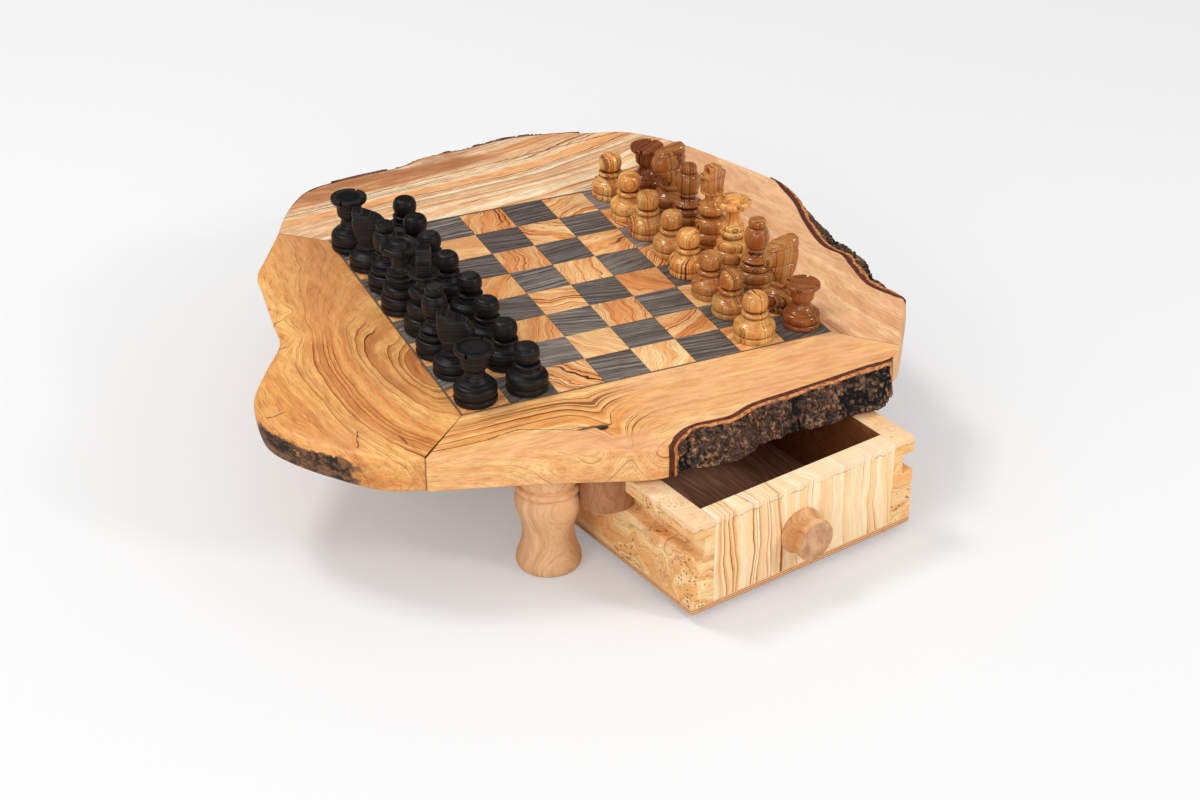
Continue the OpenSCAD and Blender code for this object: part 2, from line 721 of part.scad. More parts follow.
module queen(w, h) {
    button_h = 2.6;
    rim_z = queen_h - button_h;
    crown_z = rim_z - queen_crown_t;
    cone_z = shoulder_z + 60 * fine;
    collar_z = cone_z + 55 * fine;
    neck_r = queen_neck_d / 2;
    crown_r = queen_crown_d / 2;
    button_r = queen_button_d / 2;
    difference() {
        turned(sized(concat(
            man_base(queen_d),
            bead(shoulder_z, cone_z, queen_d / 2 - 25 * fine, queen_d / 2 - 18 * fine,
                 queen_d / 2 - 50 * fine),
            [[neck_r + 16 * fine, cone_z + 15 * fine]],
            bead(collar_z - 25 * fine, collar_z + 10 * fine, neck_r + 20 * fine,
                 queen_collar_d / 2, queen_collar_d / 2 - 18 * fine),
            bead(collar_z + 10 * fine, collar_z + 45 * fine, queen_collar_d / 2 - 18 * fine,
                 queen_collar_d / 2 - 10 * fine, neck_r + 10 * fine),
            [[neck_r, collar_z + 65 * fine], [neck_r - 2 * fine, crown_z - 10 * fine],
             [neck_r + 10 * fine, crown_z + 4 * fine], [crown_r - 15 * fine, crown_z + 16 * fine],
             [crown_r, crown_z + 28 * fine], [crown_r - 3 * fine, rim_z - 4 * fine],
             [crown_r - 14 * fine, rim_z], [button_r + 12 * fine, rim_z - 12 * fine],
             [button_r, rim_z - 10 * fine], [button_r, queen_h - 10 * fine],
             [button_r - 12 * fine, queen_h], [0, queen_h]]), w, h));
        rim_cuts(queen_crown_d * w, rim_z * h, 5);
    }
}

// King: turned stem and disc; the head is a flat tapered block stepped at its shoulders
module king(w, h, disc_d) {
    cone_z = shoulder_z + 90 * fine;
    bead_z = cone_z + 30 * fine;
    disc_z = king_h - king_head_h;
    neck_r = king_neck_d / 2;
    disc_t = 2;
    shoulder = 4.5;
    step = 4.5;
    foot_w = 0.72 * king_head_w;
    turned(sized(concat(
        man_base(king_d),
        bead(shoulder_z, cone_z, king_d / 2 - 30 * fine, king_d / 2 - 20 * fine,
             neck_r + 30 * fine),
        [[neck_r + 15 * fine, cone_z + 15 * fine]],
        bead(bead_z, bead_z + 70 * fine, neck_r + 25 * fine, king_bead_d / 2,
             neck_r + 15 * fine),
        [[neck_r, bead_z + 90 * fine], [neck_r, disc_z - disc_t - 10 * fine]],
        bead(disc_z - disc_t, disc_z, neck_r + 10 * fine, disc_d / 2, disc_d / 2 - 6 * fine),
        [[0, disc_z]]), w, h));
    translate([0, 0, disc_z * h]) intersection() {
        cut_block(sized([[-foot_w / 2, -cut_extra / 2], [foot_w / 2, -cut_extra / 2],
                         [king_head_w / 2, king_head_h - shoulder],
                         [king_head_w / 2 - step, king_head_h - shoulder],
                         [king_head_w / 2 - step, king_head_h],
                         [step - king_head_w / 2, king_head_h],
                         [step - king_head_w / 2, king_head_h - shoulder],
                         [-king_head_w / 2, king_head_h - shoulder]], w, h), king_head_t);
        translate([0, 0, -cut_extra])
            turned(sized([[0, 0], [foot_w / 2, 0], [king_head_w / 2, king_head_h * 0.7],
                          [king_head_w / 2, king_head_h + 2 * cut_extra],
                          [0, king_head_h + 2 * cut_extra]], w, h));
    }
}

// Way each knight and king is turned on its square, degrees
function facing(kind, side) =
    kind == "knight" ? (side == "black" ? -24 : 180)
    : kind == "king" ? (side == "black" ? 66 : 20) : 0;

module man(m) {
    side = m[1];
    kind = m[4];
    x = (m[2] + 0.5) * square - field / 2 + m[5];
    y = (m[3] + 0.5) * square - field / 2 + m[6];
    w = m[7];
    h = m[8];
    color(side == "black" ? "#262220" : "#b9783c") placed() on_field()
        translate([x, y, top_z]) rotate([0, 0, facing(kind, side)]) {
            if (kind == "pawn") pawn(w, h);
            if (kind == "rook") rook(w, h);
            if (kind == "knight") knight(w, h);
            if (kind == "bishop") bishop(w, h);
            if (kind == "queen") queen(w, h);
            if (kind == "king")
                king(w, h, side == "black" ? black_king_disc_d : light_king_disc_d);
        }
}

slab_front();
slab_left();
slab_back();
slab_right();
bark_front();
bark_sides();
core_board();
light_squares();
dark_squares();
border_strip();
foot(-1, -1);  // foot_front_left
foot(1, -1);  // foot_front_right
foot(-1, 1);  // foot_back_left
foot(1, 1);  // foot_back_right
runner_blocks();
centre_stop();
front_drawer_front();
front_drawer_back();
front_drawer_left();
front_drawer_right();
front_drawer_bottom();
front_drawer_knob();
back_drawer_front();
back_drawer_back();
back_drawer_left();
back_drawer_right();
back_drawer_bottom();
back_drawer_knob();
for (m = MEN)
    man(m);
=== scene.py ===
import math
from functools import partialmethod

import bpy
import numpy as np
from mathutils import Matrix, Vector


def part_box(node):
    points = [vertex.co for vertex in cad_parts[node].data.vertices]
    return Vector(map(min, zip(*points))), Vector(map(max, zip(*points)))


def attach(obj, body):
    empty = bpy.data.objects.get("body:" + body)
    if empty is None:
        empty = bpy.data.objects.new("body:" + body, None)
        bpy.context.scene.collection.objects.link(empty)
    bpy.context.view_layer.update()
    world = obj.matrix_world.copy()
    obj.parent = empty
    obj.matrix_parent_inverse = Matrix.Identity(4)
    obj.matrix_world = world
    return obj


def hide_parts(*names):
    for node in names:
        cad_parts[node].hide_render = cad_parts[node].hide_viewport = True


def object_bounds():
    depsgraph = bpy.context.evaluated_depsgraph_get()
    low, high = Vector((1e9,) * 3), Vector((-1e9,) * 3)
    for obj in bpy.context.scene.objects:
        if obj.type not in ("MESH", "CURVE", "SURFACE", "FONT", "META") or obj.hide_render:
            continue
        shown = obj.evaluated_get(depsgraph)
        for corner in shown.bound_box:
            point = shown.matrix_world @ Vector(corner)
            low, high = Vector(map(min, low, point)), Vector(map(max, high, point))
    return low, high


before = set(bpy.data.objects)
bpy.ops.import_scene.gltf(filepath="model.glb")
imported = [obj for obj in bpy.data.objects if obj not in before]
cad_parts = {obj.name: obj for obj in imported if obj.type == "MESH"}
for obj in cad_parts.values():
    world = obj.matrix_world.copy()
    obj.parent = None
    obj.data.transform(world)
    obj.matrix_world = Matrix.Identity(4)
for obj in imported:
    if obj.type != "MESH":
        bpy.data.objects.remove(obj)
cad_box = [list(corner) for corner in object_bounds()]

# ---- slabs ----
# Four live-edge slabs of oiled olive wood, mitred at the corners, frame the playing field.
# Their outer edges follow the log; they are sanded round, and glued along the mitres.

MM = 0.001
QUARTER = math.pi / 2
TURN = math.radians(11.7)
TOP, UNDER = 90.0, 68.0
OPENING = 121.5  # from the field's middle to the slabs

# Points along the log's edge: x, y, thickness of the bark, and lean of the side at its foot.
LEFT_EDGE = [(-150, 145, 0, 0), (-169, 113, 0, -4), (-180, 93, 0, -9), (-184, 66, 0, -9),
             (-189, 30, 0, -9), (-193, 3, 0, -8), (-209, -23, 0, -5), (-226, -53, 0, -4),
             (-229, -80, 0, -3), (-220, -103, 0, -3), (-203, -127, 0, -3), (-181, -147, 0, 0)]
FRONT_EDGE = [(-157, -158, 0, 0), (-125, -168, 0, 0), (-85, -181, 0, 0), (-45, -196, 0, 0),
              (-28, -200, 0, 0), (-16, -193, 3, 4), (-3, -188, 4, 9), (20, -188, 4, 8),
              (38, -181, 4, 6), (60, -178, 4, 7), (92, -174, 4, 10), (120, -170, 4, 12),
              (134, -168, 3, 5), (142, -162, 0, 0)]
RIGHT_EDGE = [(152, -153, 0, 0), (170, -127, 0, 0), (183, -107, 0, 0), (184, -95, 5, 1),
              (181, -75, 9, 2), (187, -50, 12, 2), (188, -33, 11, 1), (186, -15, 14, 2),
              (186, 15, 9, 1), (191, 45, 6, 1), (193, 70, 5, 0), (189, 92, 0, 0),
              (176, 126, 0, 0)]
BACK_EDGE = [(159, 165, 0, 0), (145, 186, 0, 0), (128, 202, 0, 0), (103, 211, 0, 0),
             (76, 221, 3, 1), (45, 225, 3, 2), (12, 221, 3, 1), (-20, 219, 3, 2),
             (-42, 211, 3, 1), (-66, 209, 3, 1), (-96, 206, 0, 0), (-114, 199, 0, 0),
             (-130, 181, 0, 0), (-141, 163, 0, 0)]
LOG = np.array(LEFT_EDGE + FRONT_EDGE + RIGHT_EDGE + BACK_EDGE, float)
FRONT_FROM, RIGHT_FROM, BACK_FROM, LOG_END = np.cumsum(
    [len(edge) for edge in (LEFT_EDGE, FRONT_EDGE, RIGHT_EDGE, BACK_EDGE)]).tolist()


def middle_of(node):
    """Middle of a CAD node's box."""
    return np.add(*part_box(node)) / 2


def cubic(a, b, c, d, s):
    """Smooth curve from b to c at the fraction s: the four points weighted by its powers."""
    return (2 * b + (c - a) * s + (2 * a - 5 * b + 4 * c - d) * s ** 2
            + (3 * b - a - 3 * c + d) * s ** 3) / 2


def along_log(t):
    """Smooth curve through the log's points: x and y, bark, lean and the outward unit normal,
    which is the direction of travel turned a quarter clockwise."""
    def at(t):
        i = np.floor(t).astype(int)
        return cubic(*(LOG[(i + k) % len(LOG)] for k in (-1, 0, 1, 2)), (t - i)[:, None])
    p = at(t)
    way = at(t + 0.05)[:, :2] - at(t - 0.05)[:, :2]
    way /= np.linalg.norm(way, axis=1)[:, None]
    return p[:, :2], np.maximum(p[:, 2], 0), p[:, 3], np.c_[way[:, 1], -way[:, 0]]


def rotated(p, angle):
    """Points turned about the z axis, to x cos - y sin and x sin + y cos."""
    x, y = p[..., 0], p[..., 1]
    c, s = np.cos(angle), np.sin(angle)
    return np.stack([x * c - y * s, x * s + y * c, p[..., 2]], -1)


def to_row(p):
    """Points in the field's axes in millimetres, turned clockwise into the drawers' axes and moved
    to the field's place, in metres."""
    return rotated(p, -TURN) * MM + middle_of("border_strip") * (1, 1, 0)


def lumps(p, size, seed):
    """Smooth random lumps from 0 to 1: a scrambled whole number at each corner of a lattice of
    that size, blended between the corners by 3t^2 - 2t^3 along each axis."""
    q = np.asarray(p, float) / size
    i = np.floor(q).astype(np.int64)
    f = q - i
    f = f * f * (3 - 2 * f)
    total = 0
    for corner in range(8):
        k = np.array([corner & 1, corner >> 1 & 1, corner >> 2 & 1])
        n = ((i + k) * np.array([73856093, 19349663, 83492791])).sum(-1) + seed * 374761393
        n = (n ^ (n >> 13)) & 0xFFFFFFFF
        n = (n * 1274126177) & 0xFFFFFFFF
        n = (n ^ (n >> 16)) & 0xFFFF
        total = total + n / 65535 * np.where(k == 1, f, 1 - f).prod(-1)
    return total


def bumps(x, y, *bells):
    """Sum of bells, each its height times e to the minus square of the distance from its middle
    over its width, along x and along y."""
    return sum(high * np.exp(-((x - x0) / wide) ** 2 - ((y - y0) / deep) ** 2)
               for high, x0, y0, wide, deep in bells)


def put(name, data):
    """Object in the scene, at the origin."""
    made = bpy.data.objects.new(name, data)
    bpy.context.scene.collection.objects.link(made)
    return made


def piece(name, points, faces, material, slot, body, nodes=None, values=None, sharp=35):
    """Object from points and faces, smooth except over edges sharper than the given angle, with
    its point values, riding on a body and standing for the CAD nodes named, or else for the node
    of its own name."""
    mesh = bpy.data.meshes.new(name)
    mesh.from_pydata(np.asarray(points).tolist(), [], faces)
    mesh.polygons.foreach_set("use_smooth", np.ones(len(mesh.polygons), bool))
    mesh.set_sharp_from_angle(angle=math.radians(sharp))
    for key, value in (values or {}).items():
        value = np.asarray(value, np.float32)
        kind, field = ("FLOAT_VECTOR", "vector") if value.ndim > 1 else ("FLOAT", "value")
        mesh.attributes.new(key, kind, "POINT").data.foreach_set(field, value.ravel())
    mesh.materials.append(material)
    made = put(name, mesh)
    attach(made, body)
    nodes = (name,) if nodes is None else nodes
    if nodes:
        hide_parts(*nodes)


def walls(n, m):
    """Faces of a solid of n sections with m points round each: quads between neighbouring
    sections, each joined to itself, and a face over each end."""
    a = np.arange(n * m).reshape(n, m)
    b = np.roll(a, -1, 1)
    quads = np.stack([a[:-1], b[:-1], b[1:], a[1:]], -1).reshape(-1, 4)
    return quads.tolist() + [a[0][::-1].tolist(), a[-1].tolist()]


def solid(name, grid, *finish, **more):
    """Closed solid from a grid of points [section, point round it]. If the volume in it, which is
    the sum of its faces' triple products, comes out negative, every face is turned round."""
    p, faces = grid.reshape(-1, 3), walls(*grid.shape[:2])
    c = p[np.array(faces[:-2])]
    volume = (np.cross(c[:, 0], c[:, 1]) * c[:, 2] + np.cross(c[:, 0], c[:, 2]) * c[:, 3]).sum()
    for end in faces[-2:]:
        e = p[end]
        volume += (np.cross(e[0], e[1:-1]) * e[2:]).sum()
    if volume < 0:
        faces = [f[::-1] for f in faces]
    piece(name, p, faces, *finish, **more)


def feed(node, key, value):
    """Links a shade to a node's input, or sets a plain number or colour on it."""
    if isinstance(value, Shade):
        value.tree.links.new(value.socket, node.inputs[key])
    else:
        node.inputs[key].default_value = value


def wire(tree, kind, out=0, feeds=None, **settings):
    """A shader node with its settings and what feeds its inputs. Gives the output asked for."""
    node = tree.nodes.new("ShaderNode" + kind)
    for key, value in settings.items():
        setattr(node, key, value)
    for key, value in (feeds or {}).items():
        feed(node, key, value)
    return Shade(node.outputs[out])


def tint(red, green, blue):
    """A colour given as screen values 0 to 255, as the linear colour that a shader takes."""
    c = np.array([red, green, blue]) / 255
    return (*np.where(c > 0.04045, ((c + 0.055) / 1.055) ** 2.4, c / 12.92), 1.0)


def mixed(tree, share, a, b, how="MIX"):
    """Colour a where the share is 0 and b where it is 1, each a shade or three screen values."""
    a, b = (c if isinstance(c, Shade) else tint(*c) for c in (a, b))
    return wire(tree, "Mix", 2, {0: share, 6: a, 7: b}, data_type="RGBA", blend_type=how)


class Shade:
    """A number, place or colour that a material works out at each point of its piece. Sums and
    products of shades are Math nodes."""

    def __init__(self, socket):
        self.socket, self.tree = socket, socket.id_data

    def maths(self, operation, *others):
        return wire(self.tree, "Math", 0, dict(enumerate((self, *others))), operation=operation)

    __add__ = partialmethod(maths, "ADD")
    __sub__ = partialmethod(maths, "SUBTRACT")
    __mul__ = partialmethod(maths, "MULTIPLY")

    def __rsub__(self, other):
        return wire(self.tree, "Math", 0, {0: other, 1: self}, operation="SUBTRACT")

    def eased(self, low, high, to_low=0, to_high=1):
        """Brought smoothly from between low and high to another range, and held outside it."""
        return wire(self.tree, "MapRange", 0, {"Value": self, "From Min": low, "From Max": high,
                                               "To Min": to_low, "To Max": to_high},
                    interpolation_type="SMOOTHSTEP")

    def noise(self, scale, detail=2, rough=0.5):
        """Noise from 0 to 1 round a place, or along a number."""
        key, dims = ("Vector", "3D") if self.socket.type == "VECTOR" else ("W", "1D")
        return wire(self.tree, "TexNoise", 0, {key: self, "Scale": scale, "Detail": detail,
                                               "Roughness": rough}, noise_dimensions=dims)

    def laid(self, pith=(0, 0, 0), turn=(0, 0, 0), stretch=(1, 1, 1)):
        """A place as seen from a pith, turned with the grain, and squeezed by the stretch."""
        return wire(self.tree, "Mapping", 0, {"Vector": self, "Location": pith, "Rotation": turn,
                                              "Scale": stretch}, vector_type="TEXTURE")

    def length(self):
        return wire(self.tree, "VectorMath", "Value", {0: self}, operation="LENGTH")

    def axis(self, letter):
        return wire(self.tree, "SeparateXYZ", letter, {0: self})

    def between(self, a, b):
        """Colours mixed by this share of the second."""
        return mixed(self.tree, self, a, b)

    def stained(self, share, deep):
        """This colour multiplied by a deep one where the share is 1."""
        return share.between(self, mixed(self.tree, 1, self, deep, "MULTIPLY"))


def place(tree):
    return wire(tree, "TexCoord", "Object")


def stored(tree, name, out="Fac"):
    return wire(tree, "Attribute", out, attribute_name=name)


def skin(colour, roughness, height, depth):
    """What feeds a shader: a colour, a roughness, and relief by a height times a depth."""
    relief = wire(colour.tree, "Bump", 0, {"Height": height, "Distance": depth, "Strength": 0.6})
    return {"Base Color": colour, "Roughness": roughness, "Normal": relief}


def surface(name, build, **uniform):
    """Material whose shader is fed by build(tree), with its uniform values set on the shader's
    own sockets."""
    made = bpy.data.materials.new(name)
    made.use_nodes = True
    shader = made.node_tree.nodes["Principled BSDF"]
    for key, value in {**uniform, **build(made.node_tree)}.items():
        feed(shader, key.replace("_", " "), value)
    return made


def olive(growth, where, pale, honey, brown, warp=0.02, warp_size=0.05, bands=90, rings=150,
          strength=0.9, calm=0, along=(0, 0, 0), patch=14, depth=0.9, glow=(184, 104, 46),
          least=0.2, fibres=0.45, clouds=0.6, line_from=0.82, flames=150, sweep=1):
    """Olive wood's figure. The growth distance is bent by slow noise, drawn out by the sweep along
    the grain. Broad bands follow noise along it from pale to honey. Along it too runs a saw-tooth
    of uneven length: the wood deepens towards each tooth's end, where a fine dark line closes it.
    Each ring has its own strength, and rings fade in patches and where the wood is calm. Flames,
    clouds and fibres follow the rings. Gives the colour, the share of dark line and the fibres."""
    swept = where.laid(turn=along, stretch=(1, sweep, 1))
    bend = swept.noise(1 / warp_size, 2.5) * warp + growth
    bend = swept.noise(6 / warp_size, 3, 0.55) * (warp * 0.12) + bend
    lively = 1 - calm
    banded = bend.noise(bands).eased(0.34, 0.66) * (lively * (0.7 * depth) + 0.3 * depth)
    colour = banded.between(pale, honey)
    grain = where.laid(turn=along, stretch=(1, 14, 1))
    grain = wire(where.tree, "CombineXYZ", 0, {"X": bend, "Y": grain.axis("Y"),
                                               "Z": grain.axis("Z")})
    colour = grain.noise(flames, 5, 0.62).eased(0.4, 0.7, 0, 0.6).between(colour, honey)
    cloud = grain.noise(48, 4, 0.6).eased(0.46, 0.68, 0, clouds)
    colour = cloud.between(colour, mixed(where.tree, 0.5, honey, glow))
    phase = bend.noise(rings * 0.6, 1) * 3 + bend * rings
    tooth = phase.maths("FRACT")
    own = wire(where.tree, "TexWhiteNoise", 0, {"W": phase.maths("FLOOR")}, noise_dimensions="1D")
    patches = swept.noise(patch).eased(0.38, 0.58, 0.12, 1)
    share = own.eased(0.1, 0.8, least, 1) * patches * (lively * strength)
    line = tooth.eased(line_from, line_from + 0.09) * share
    colour = (tooth.eased(0.3, 1, 0, 0.8) * share).between(colour, glow)
    colour = line.between(colour, brown)
    fibre = grain.noise(1100, 3, 0.6)
    colour = fibre.eased(0.46, 0.68, 0, fibres).between(colour, mixed(where.tree, 0.5, glow, brown))
    return colour, line, fibre


def slab_wood(name, pale, honey, brown, rose, grain_turn, **figure):
    """Oiled slab. Its growth, its calm and ruddy places, its dark rind, its glue seams and the
    distance from one dark vein are stored in the mesh. A brown mottle runs along the grain."""
    def build(tree):
        where = place(tree)
        grain = (0, 0, grain_turn)
        colour, line, fibre = olive(stored(tree, "growth"), where, pale, honey, brown,
                                    calm=stored(tree, "calm"), along=grain, **figure)
        streaks = where.laid(turn=grain, stretch=(1, 4, 1))
        ruddy = stored(tree, "ruddy") * streaks.noise(70, 4, 0.6).eased(0.3, 0.62, 0.2, 0.85)
        colour = ruddy.between(colour, rose)
        mottle = streaks.noise(230, 6, 0.68).eased(0.42, 0.64, 0, 0.4)
        colour = colour.stained(mottle, (214, 180, 152))
        vein = where.noise(120, 3, 0.6) * 0.005 + (stored(tree, "vein") - 0.0025)
        vein = vein.maths("ABSOLUTE").eased(0.0001, 0.0007, 0.85, 0)
        colour = vein.between(colour, (74, 40, 22))
        broken = streaks.noise(210, 4, 0.65)
        rind = (stored(tree, "rind") + (broken * 1.8 - 1.1)).eased(0.28, 0.62)
        colour = rind.between(colour, broken.eased(0.42, 0.62).between((44, 33, 27), (136, 92, 60)))
        colour = stored(tree, "seam").between(colour, (84, 58, 40))
        roughness = rind * 0.3 + fibre.eased(0.3, 0.7, 0.34, 0.46)
        return skin(colour, roughness, line * -0.6 + fibre, 0.00012)
    return surface(name, build, Specular_IOR_Level=0.3, Coat_Weight=0.06, Coat_Roughness=0.3)


def slab(name, first, last, corner_a, corner_b, material, figure, foot_round, top_round, *swell):
    """A section from the field's edge out over the top, round a quarter circle, down the leaning
    side and back underneath, carried along the log from one mitre to the next. The rounding swells
    at bells and goes where bark covers it. The end sections are drawn in by a hair for the seam."""
    close, seam = 0.0018, 0.14
    along = np.linspace(0, 1, (last - first) * 15)[1:-1]
    u = np.concatenate([[0, close], along, [1 - close, 1]])
    edge, bark, lean, out = along_log(first + u * (last - first))
    inner = np.outer(1 - u, corner_a) * OPENING + np.outer(u, corner_b) * OPENING
    bare = np.clip(1 - bark / 1.5, 0.06, 1)
    r1 = (top_round + bumps(edge[:, 0], edge[:, 1], *swell)) * bare
    r2 = foot_round * bare
    at_mitre = (u == 0) | (u == 1)
    shrink = np.where(at_mitre, seam, 0.0)
    height = TOP - UNDER
    start = edge - out * (bark + 0.5 * bare)[:, None]
    points = []

    def section(at, z):
        points.append(np.c_[at, z + 0 * u])

    def side(drop, inward):
        return start + out * (lean * drop / height - inward - shrink)[:, None]

    for s in np.linspace(0, 1, 40)[:-1]:
        section(inner + (start - out * r1[:, None] - inner) * s, TOP - shrink)
    quarter = np.radians(np.linspace(0, 90, 8))
    for q in quarter:
        drop = r1 * (1 - np.cos(q))
        section(side(drop, r1 * (1 - np.sin(q))), TOP - drop - shrink * (q < 1.5))
    for s in np.linspace(0, 1, 9)[1:-1]:
        drop = r1 + (height - r1 - r2) * s
        section(side(drop, -0.5 * np.sin(s * np.pi) * bare), TOP - drop)
    for q in quarter:
        rise = r2 * (1 - np.sin(q))
        section(side(height - rise, r2 * (1 - np.cos(q))), UNDER + rise + shrink * (q > 1.5))
    below = points[-1][:, :2]
    for s in np.linspace(1, 0, 12)[1:]:
        section(inner + (below - inner) * s, UNDER + shrink)
    section(inner, TOP - 1)
    grid = np.stack(points, 1)
    x, y, depth = grid[..., 0], grid[..., 1], TOP - grid[..., 2]
    values = dict(calm=0 * x, ruddy=0 * x, rind=0 * x, vein=20 + 0 * x) | figure(x, y, depth)
    for key in ("growth", "vein"):
        values[key] = values[key] * MM
    values["seam"] = np.where(at_mitre, 0.9, 0.0)[:, None] + 0 * x
    solid(name, to_row(grid), material, "slab_wood", "board", sharp=50,
          values={key: value.ravel() for key, value in values.items()})


def left_figure(x, y, depth):
    """Half rings round a centre by the field, long along the slab and longer still at the back,
    with patches of dark rind down the edge and a few short cracks across it."""
    dy = (y + 62) / 1.8
    growth = np.hypot(x + 112, np.where(dy < 0, dy, 60 * np.tanh(dy / 60))) + 0.25 * depth
    growth += bumps(x, y, (9, -186, 8, 12, 10), (5, -173, 40, 6, 8))
    calm = bumps(x, y, (0.5, -165, 110, 50, 55)) + 0.65 * np.clip((growth - 58) / 22, 0, 1)
    ruddy = 0.8 * np.clip((y + 20) / 70, 0, 1) * np.clip((x + 176) / 22, 0, 1)
    ruddy += bumps(x, y, (0.5, -150, -60, 25, 30), (0.7, -190, -118, 34, 12))
    under = np.clip((depth - 0.8) / 5, 0, 1)
    rind = under * bumps(x, y, (1.2, -226, -92, 18, 30), (1.2, -203, -128, 21, 17))
    rind += bumps(x, y, (0.8, -189, 26, 2.5, 5), (0.7, -196, 2, 3, 7))
    vein = 20 + 0 * x
    for x0, y0, turn, long in ((-190, 24, 35, 12), (-196, -6, 20, 9), (-212, -24, 60, 13),
                               (-190, 46, 10, 8), (-222, -78, 8, 10), (-186, -128, 75, 16),
                               (-160, -136, 100, 10)):
        c, s = math.cos(math.radians(turn)), math.sin(math.radians(turn))
        run, off = (x - x0) * c + (y - y0) * s, (y - y0) * c - (x - x0) * s
        near = (run > -3) & (run < long) & (np.abs(off) < np.abs(vein))
        vein = np.where(near, off, vein)
    return dict(growth=growth, calm=np.clip(calm, 0, 0.9), ruddy=ruddy, rind=rind, vein=vein)


def back_figure(x, y, depth):
    """Long wavy streaks that climb a little to the right, ruddy towards the log's left edge."""
    growth = y - 0.17 * x + 4 * np.sin(x / 45 + 1) + 0.4 * depth
    ruddy = 1.4 * np.clip((y - 183 - 0.12 * x) / 14, 0, 1) * np.clip((60 - x) / 60, 0.25, 1)
    log = np.array(BACK_EDGE, float)[::-1]
    rim = y - np.interp(x, log[:, 0], log[:, 1])
    return dict(growth=growth, calm=0.1 + 0 * x, ruddy=ruddy, vein=y - 186 - 0.12 * x,
                rind=1.3 * np.clip((rim + 4) / 2, 0, 1) * (x < -50) * (x > -128)
                + 0.5 * np.clip(depth / 10, 0, 1) * (np.abs(x) < 90))


def front_figure(x, y, depth):
    """Streaks along the slab that plunge beside a small dark knot to the log's edge. A dark vein
    parts the lively honey wood by the field from the calm ruddy wood outside it; down the edge
    runs end grain."""
    dip = np.exp(-np.where(x > -46, (x + 46) / 13, ((x + 46) / 14) ** 2))
    dip *= np.clip((-122 - y) / 66, 0.02, 1)
    edge_grain = np.clip(depth / 3, 0, 1)
    growth = y + 32 * dip + 0.9 * depth + edge_grain * 5 * np.sin(x / 19 + depth / 9)
    parting = y - np.interp(x, [-160, -146, -125, -96, -74, -56, -50],
                            [-149, -151, -152, -149, -159, -163, -176])
    lively = np.clip((-10 - x) / 34, 0, 1) * np.clip(parting / 4, 0, 1)
    lively = np.maximum(lively, bumps(x, y, (1, -50, -165, 14, 12)))
    lively = np.maximum(lively, 0.15 * edge_grain)
    ruddy = np.clip(-parting / 5, 0, 1) * (x < -30) * 0.8 + 0.75 * np.clip((x + 40) / 30, 0, 1)
    knot = bumps(x, y, (1.4, -52, -166.5, 5, 3), (1.1, -62, -163, 7, 1.5))
    return dict(growth=growth, calm=0.85 * (1 - lively), ruddy=ruddy * (1 - 0.6 * edge_grain),
                rind=knot * (depth < 1), vein=np.where((x < -49) & (depth < 1), parting, 20))


def right_figure(x, y, depth):
    """Faint streaks along the slab, bending out to the log's edge at the front."""
    growth = x + 0.15 * y + 7 * np.sin(y / 60) + bumps(x, y, (12, 150, -100, 30, 40)) + 0.6 * depth
    patches = bumps(x, y, (0.9, 173, 114, 9, 9), (0.9, 174, 90, 9, 8), (0.9, 174, 64, 8, 9))
    return dict(growth=growth, calm=0.8 - 0.55 * np.clip((-50 - y) / 40, 0, 1),
                ruddy=0.55 + patches)


left_wood = slab_wood(
    "oiled_olive_left", (255, 200, 120), (222, 138, 66), (84, 40, 20), (222, 154, 98), -TURN,
    warp=0.03, warp_size=0.06, bands=60, rings=170, strength=1.6, least=0.05, line_from=0.88,
    sweep=2.5, patch=24)
front_wood = slab_wood(
    "oiled_olive_front", (255, 216, 146), (242, 164, 86), (80, 40, 18), (238, 174, 128),
    QUARTER - TURN, warp=0.013, warp_size=0.06, bands=130, rings=210, strength=2.2, line_from=0.8,
    least=0.1, sweep=3, patch=34, depth=1, glow=(206, 122, 54))
right_wood = slab_wood(
    "oiled_olive_right", (255, 214, 162), (220, 156, 102), (130, 80, 50), (246, 190, 142), -TURN,
    warp=0.026, bands=48, strength=1.2)
back_wood = slab_wood(
    "oiled_olive_back", (255, 250, 218), (250, 182, 116), (84, 44, 22), (184, 124, 80),
    QUARTER - TURN, warp=0.036, warp_size=0.06, bands=70, rings=260, depth=1, strength=2.4,
    least=0.05, glow=(206, 134, 76), sweep=4, patch=36)
slab("slab_left", 0, FRONT_FROM, (-1, 1), (-1, -1), left_wood, left_figure, 4, 2.5,
     (5.5, -205, -115, 50, 60))
slab("slab_front", FRONT_FROM, RIGHT_FROM, (-1, -1), (1, -1), front_wood, front_figure, 2, 1.6)
slab("slab_right", RIGHT_FROM, BACK_FROM, (1, -1), (1, 1), right_wood, right_figure, 2.5, 2.2)
slab("slab_back", BACK_FROM, LOG_END, (1, 1), (-1, 1), back_wood, back_figure, 3, 2.5)

# ---- bark ----
# The log's own bark, left on where it held: a broken crust over a thin orange cambium and a dark
# brown band that was sanded level with the slab's top. It is part of the slab and oiled with it.


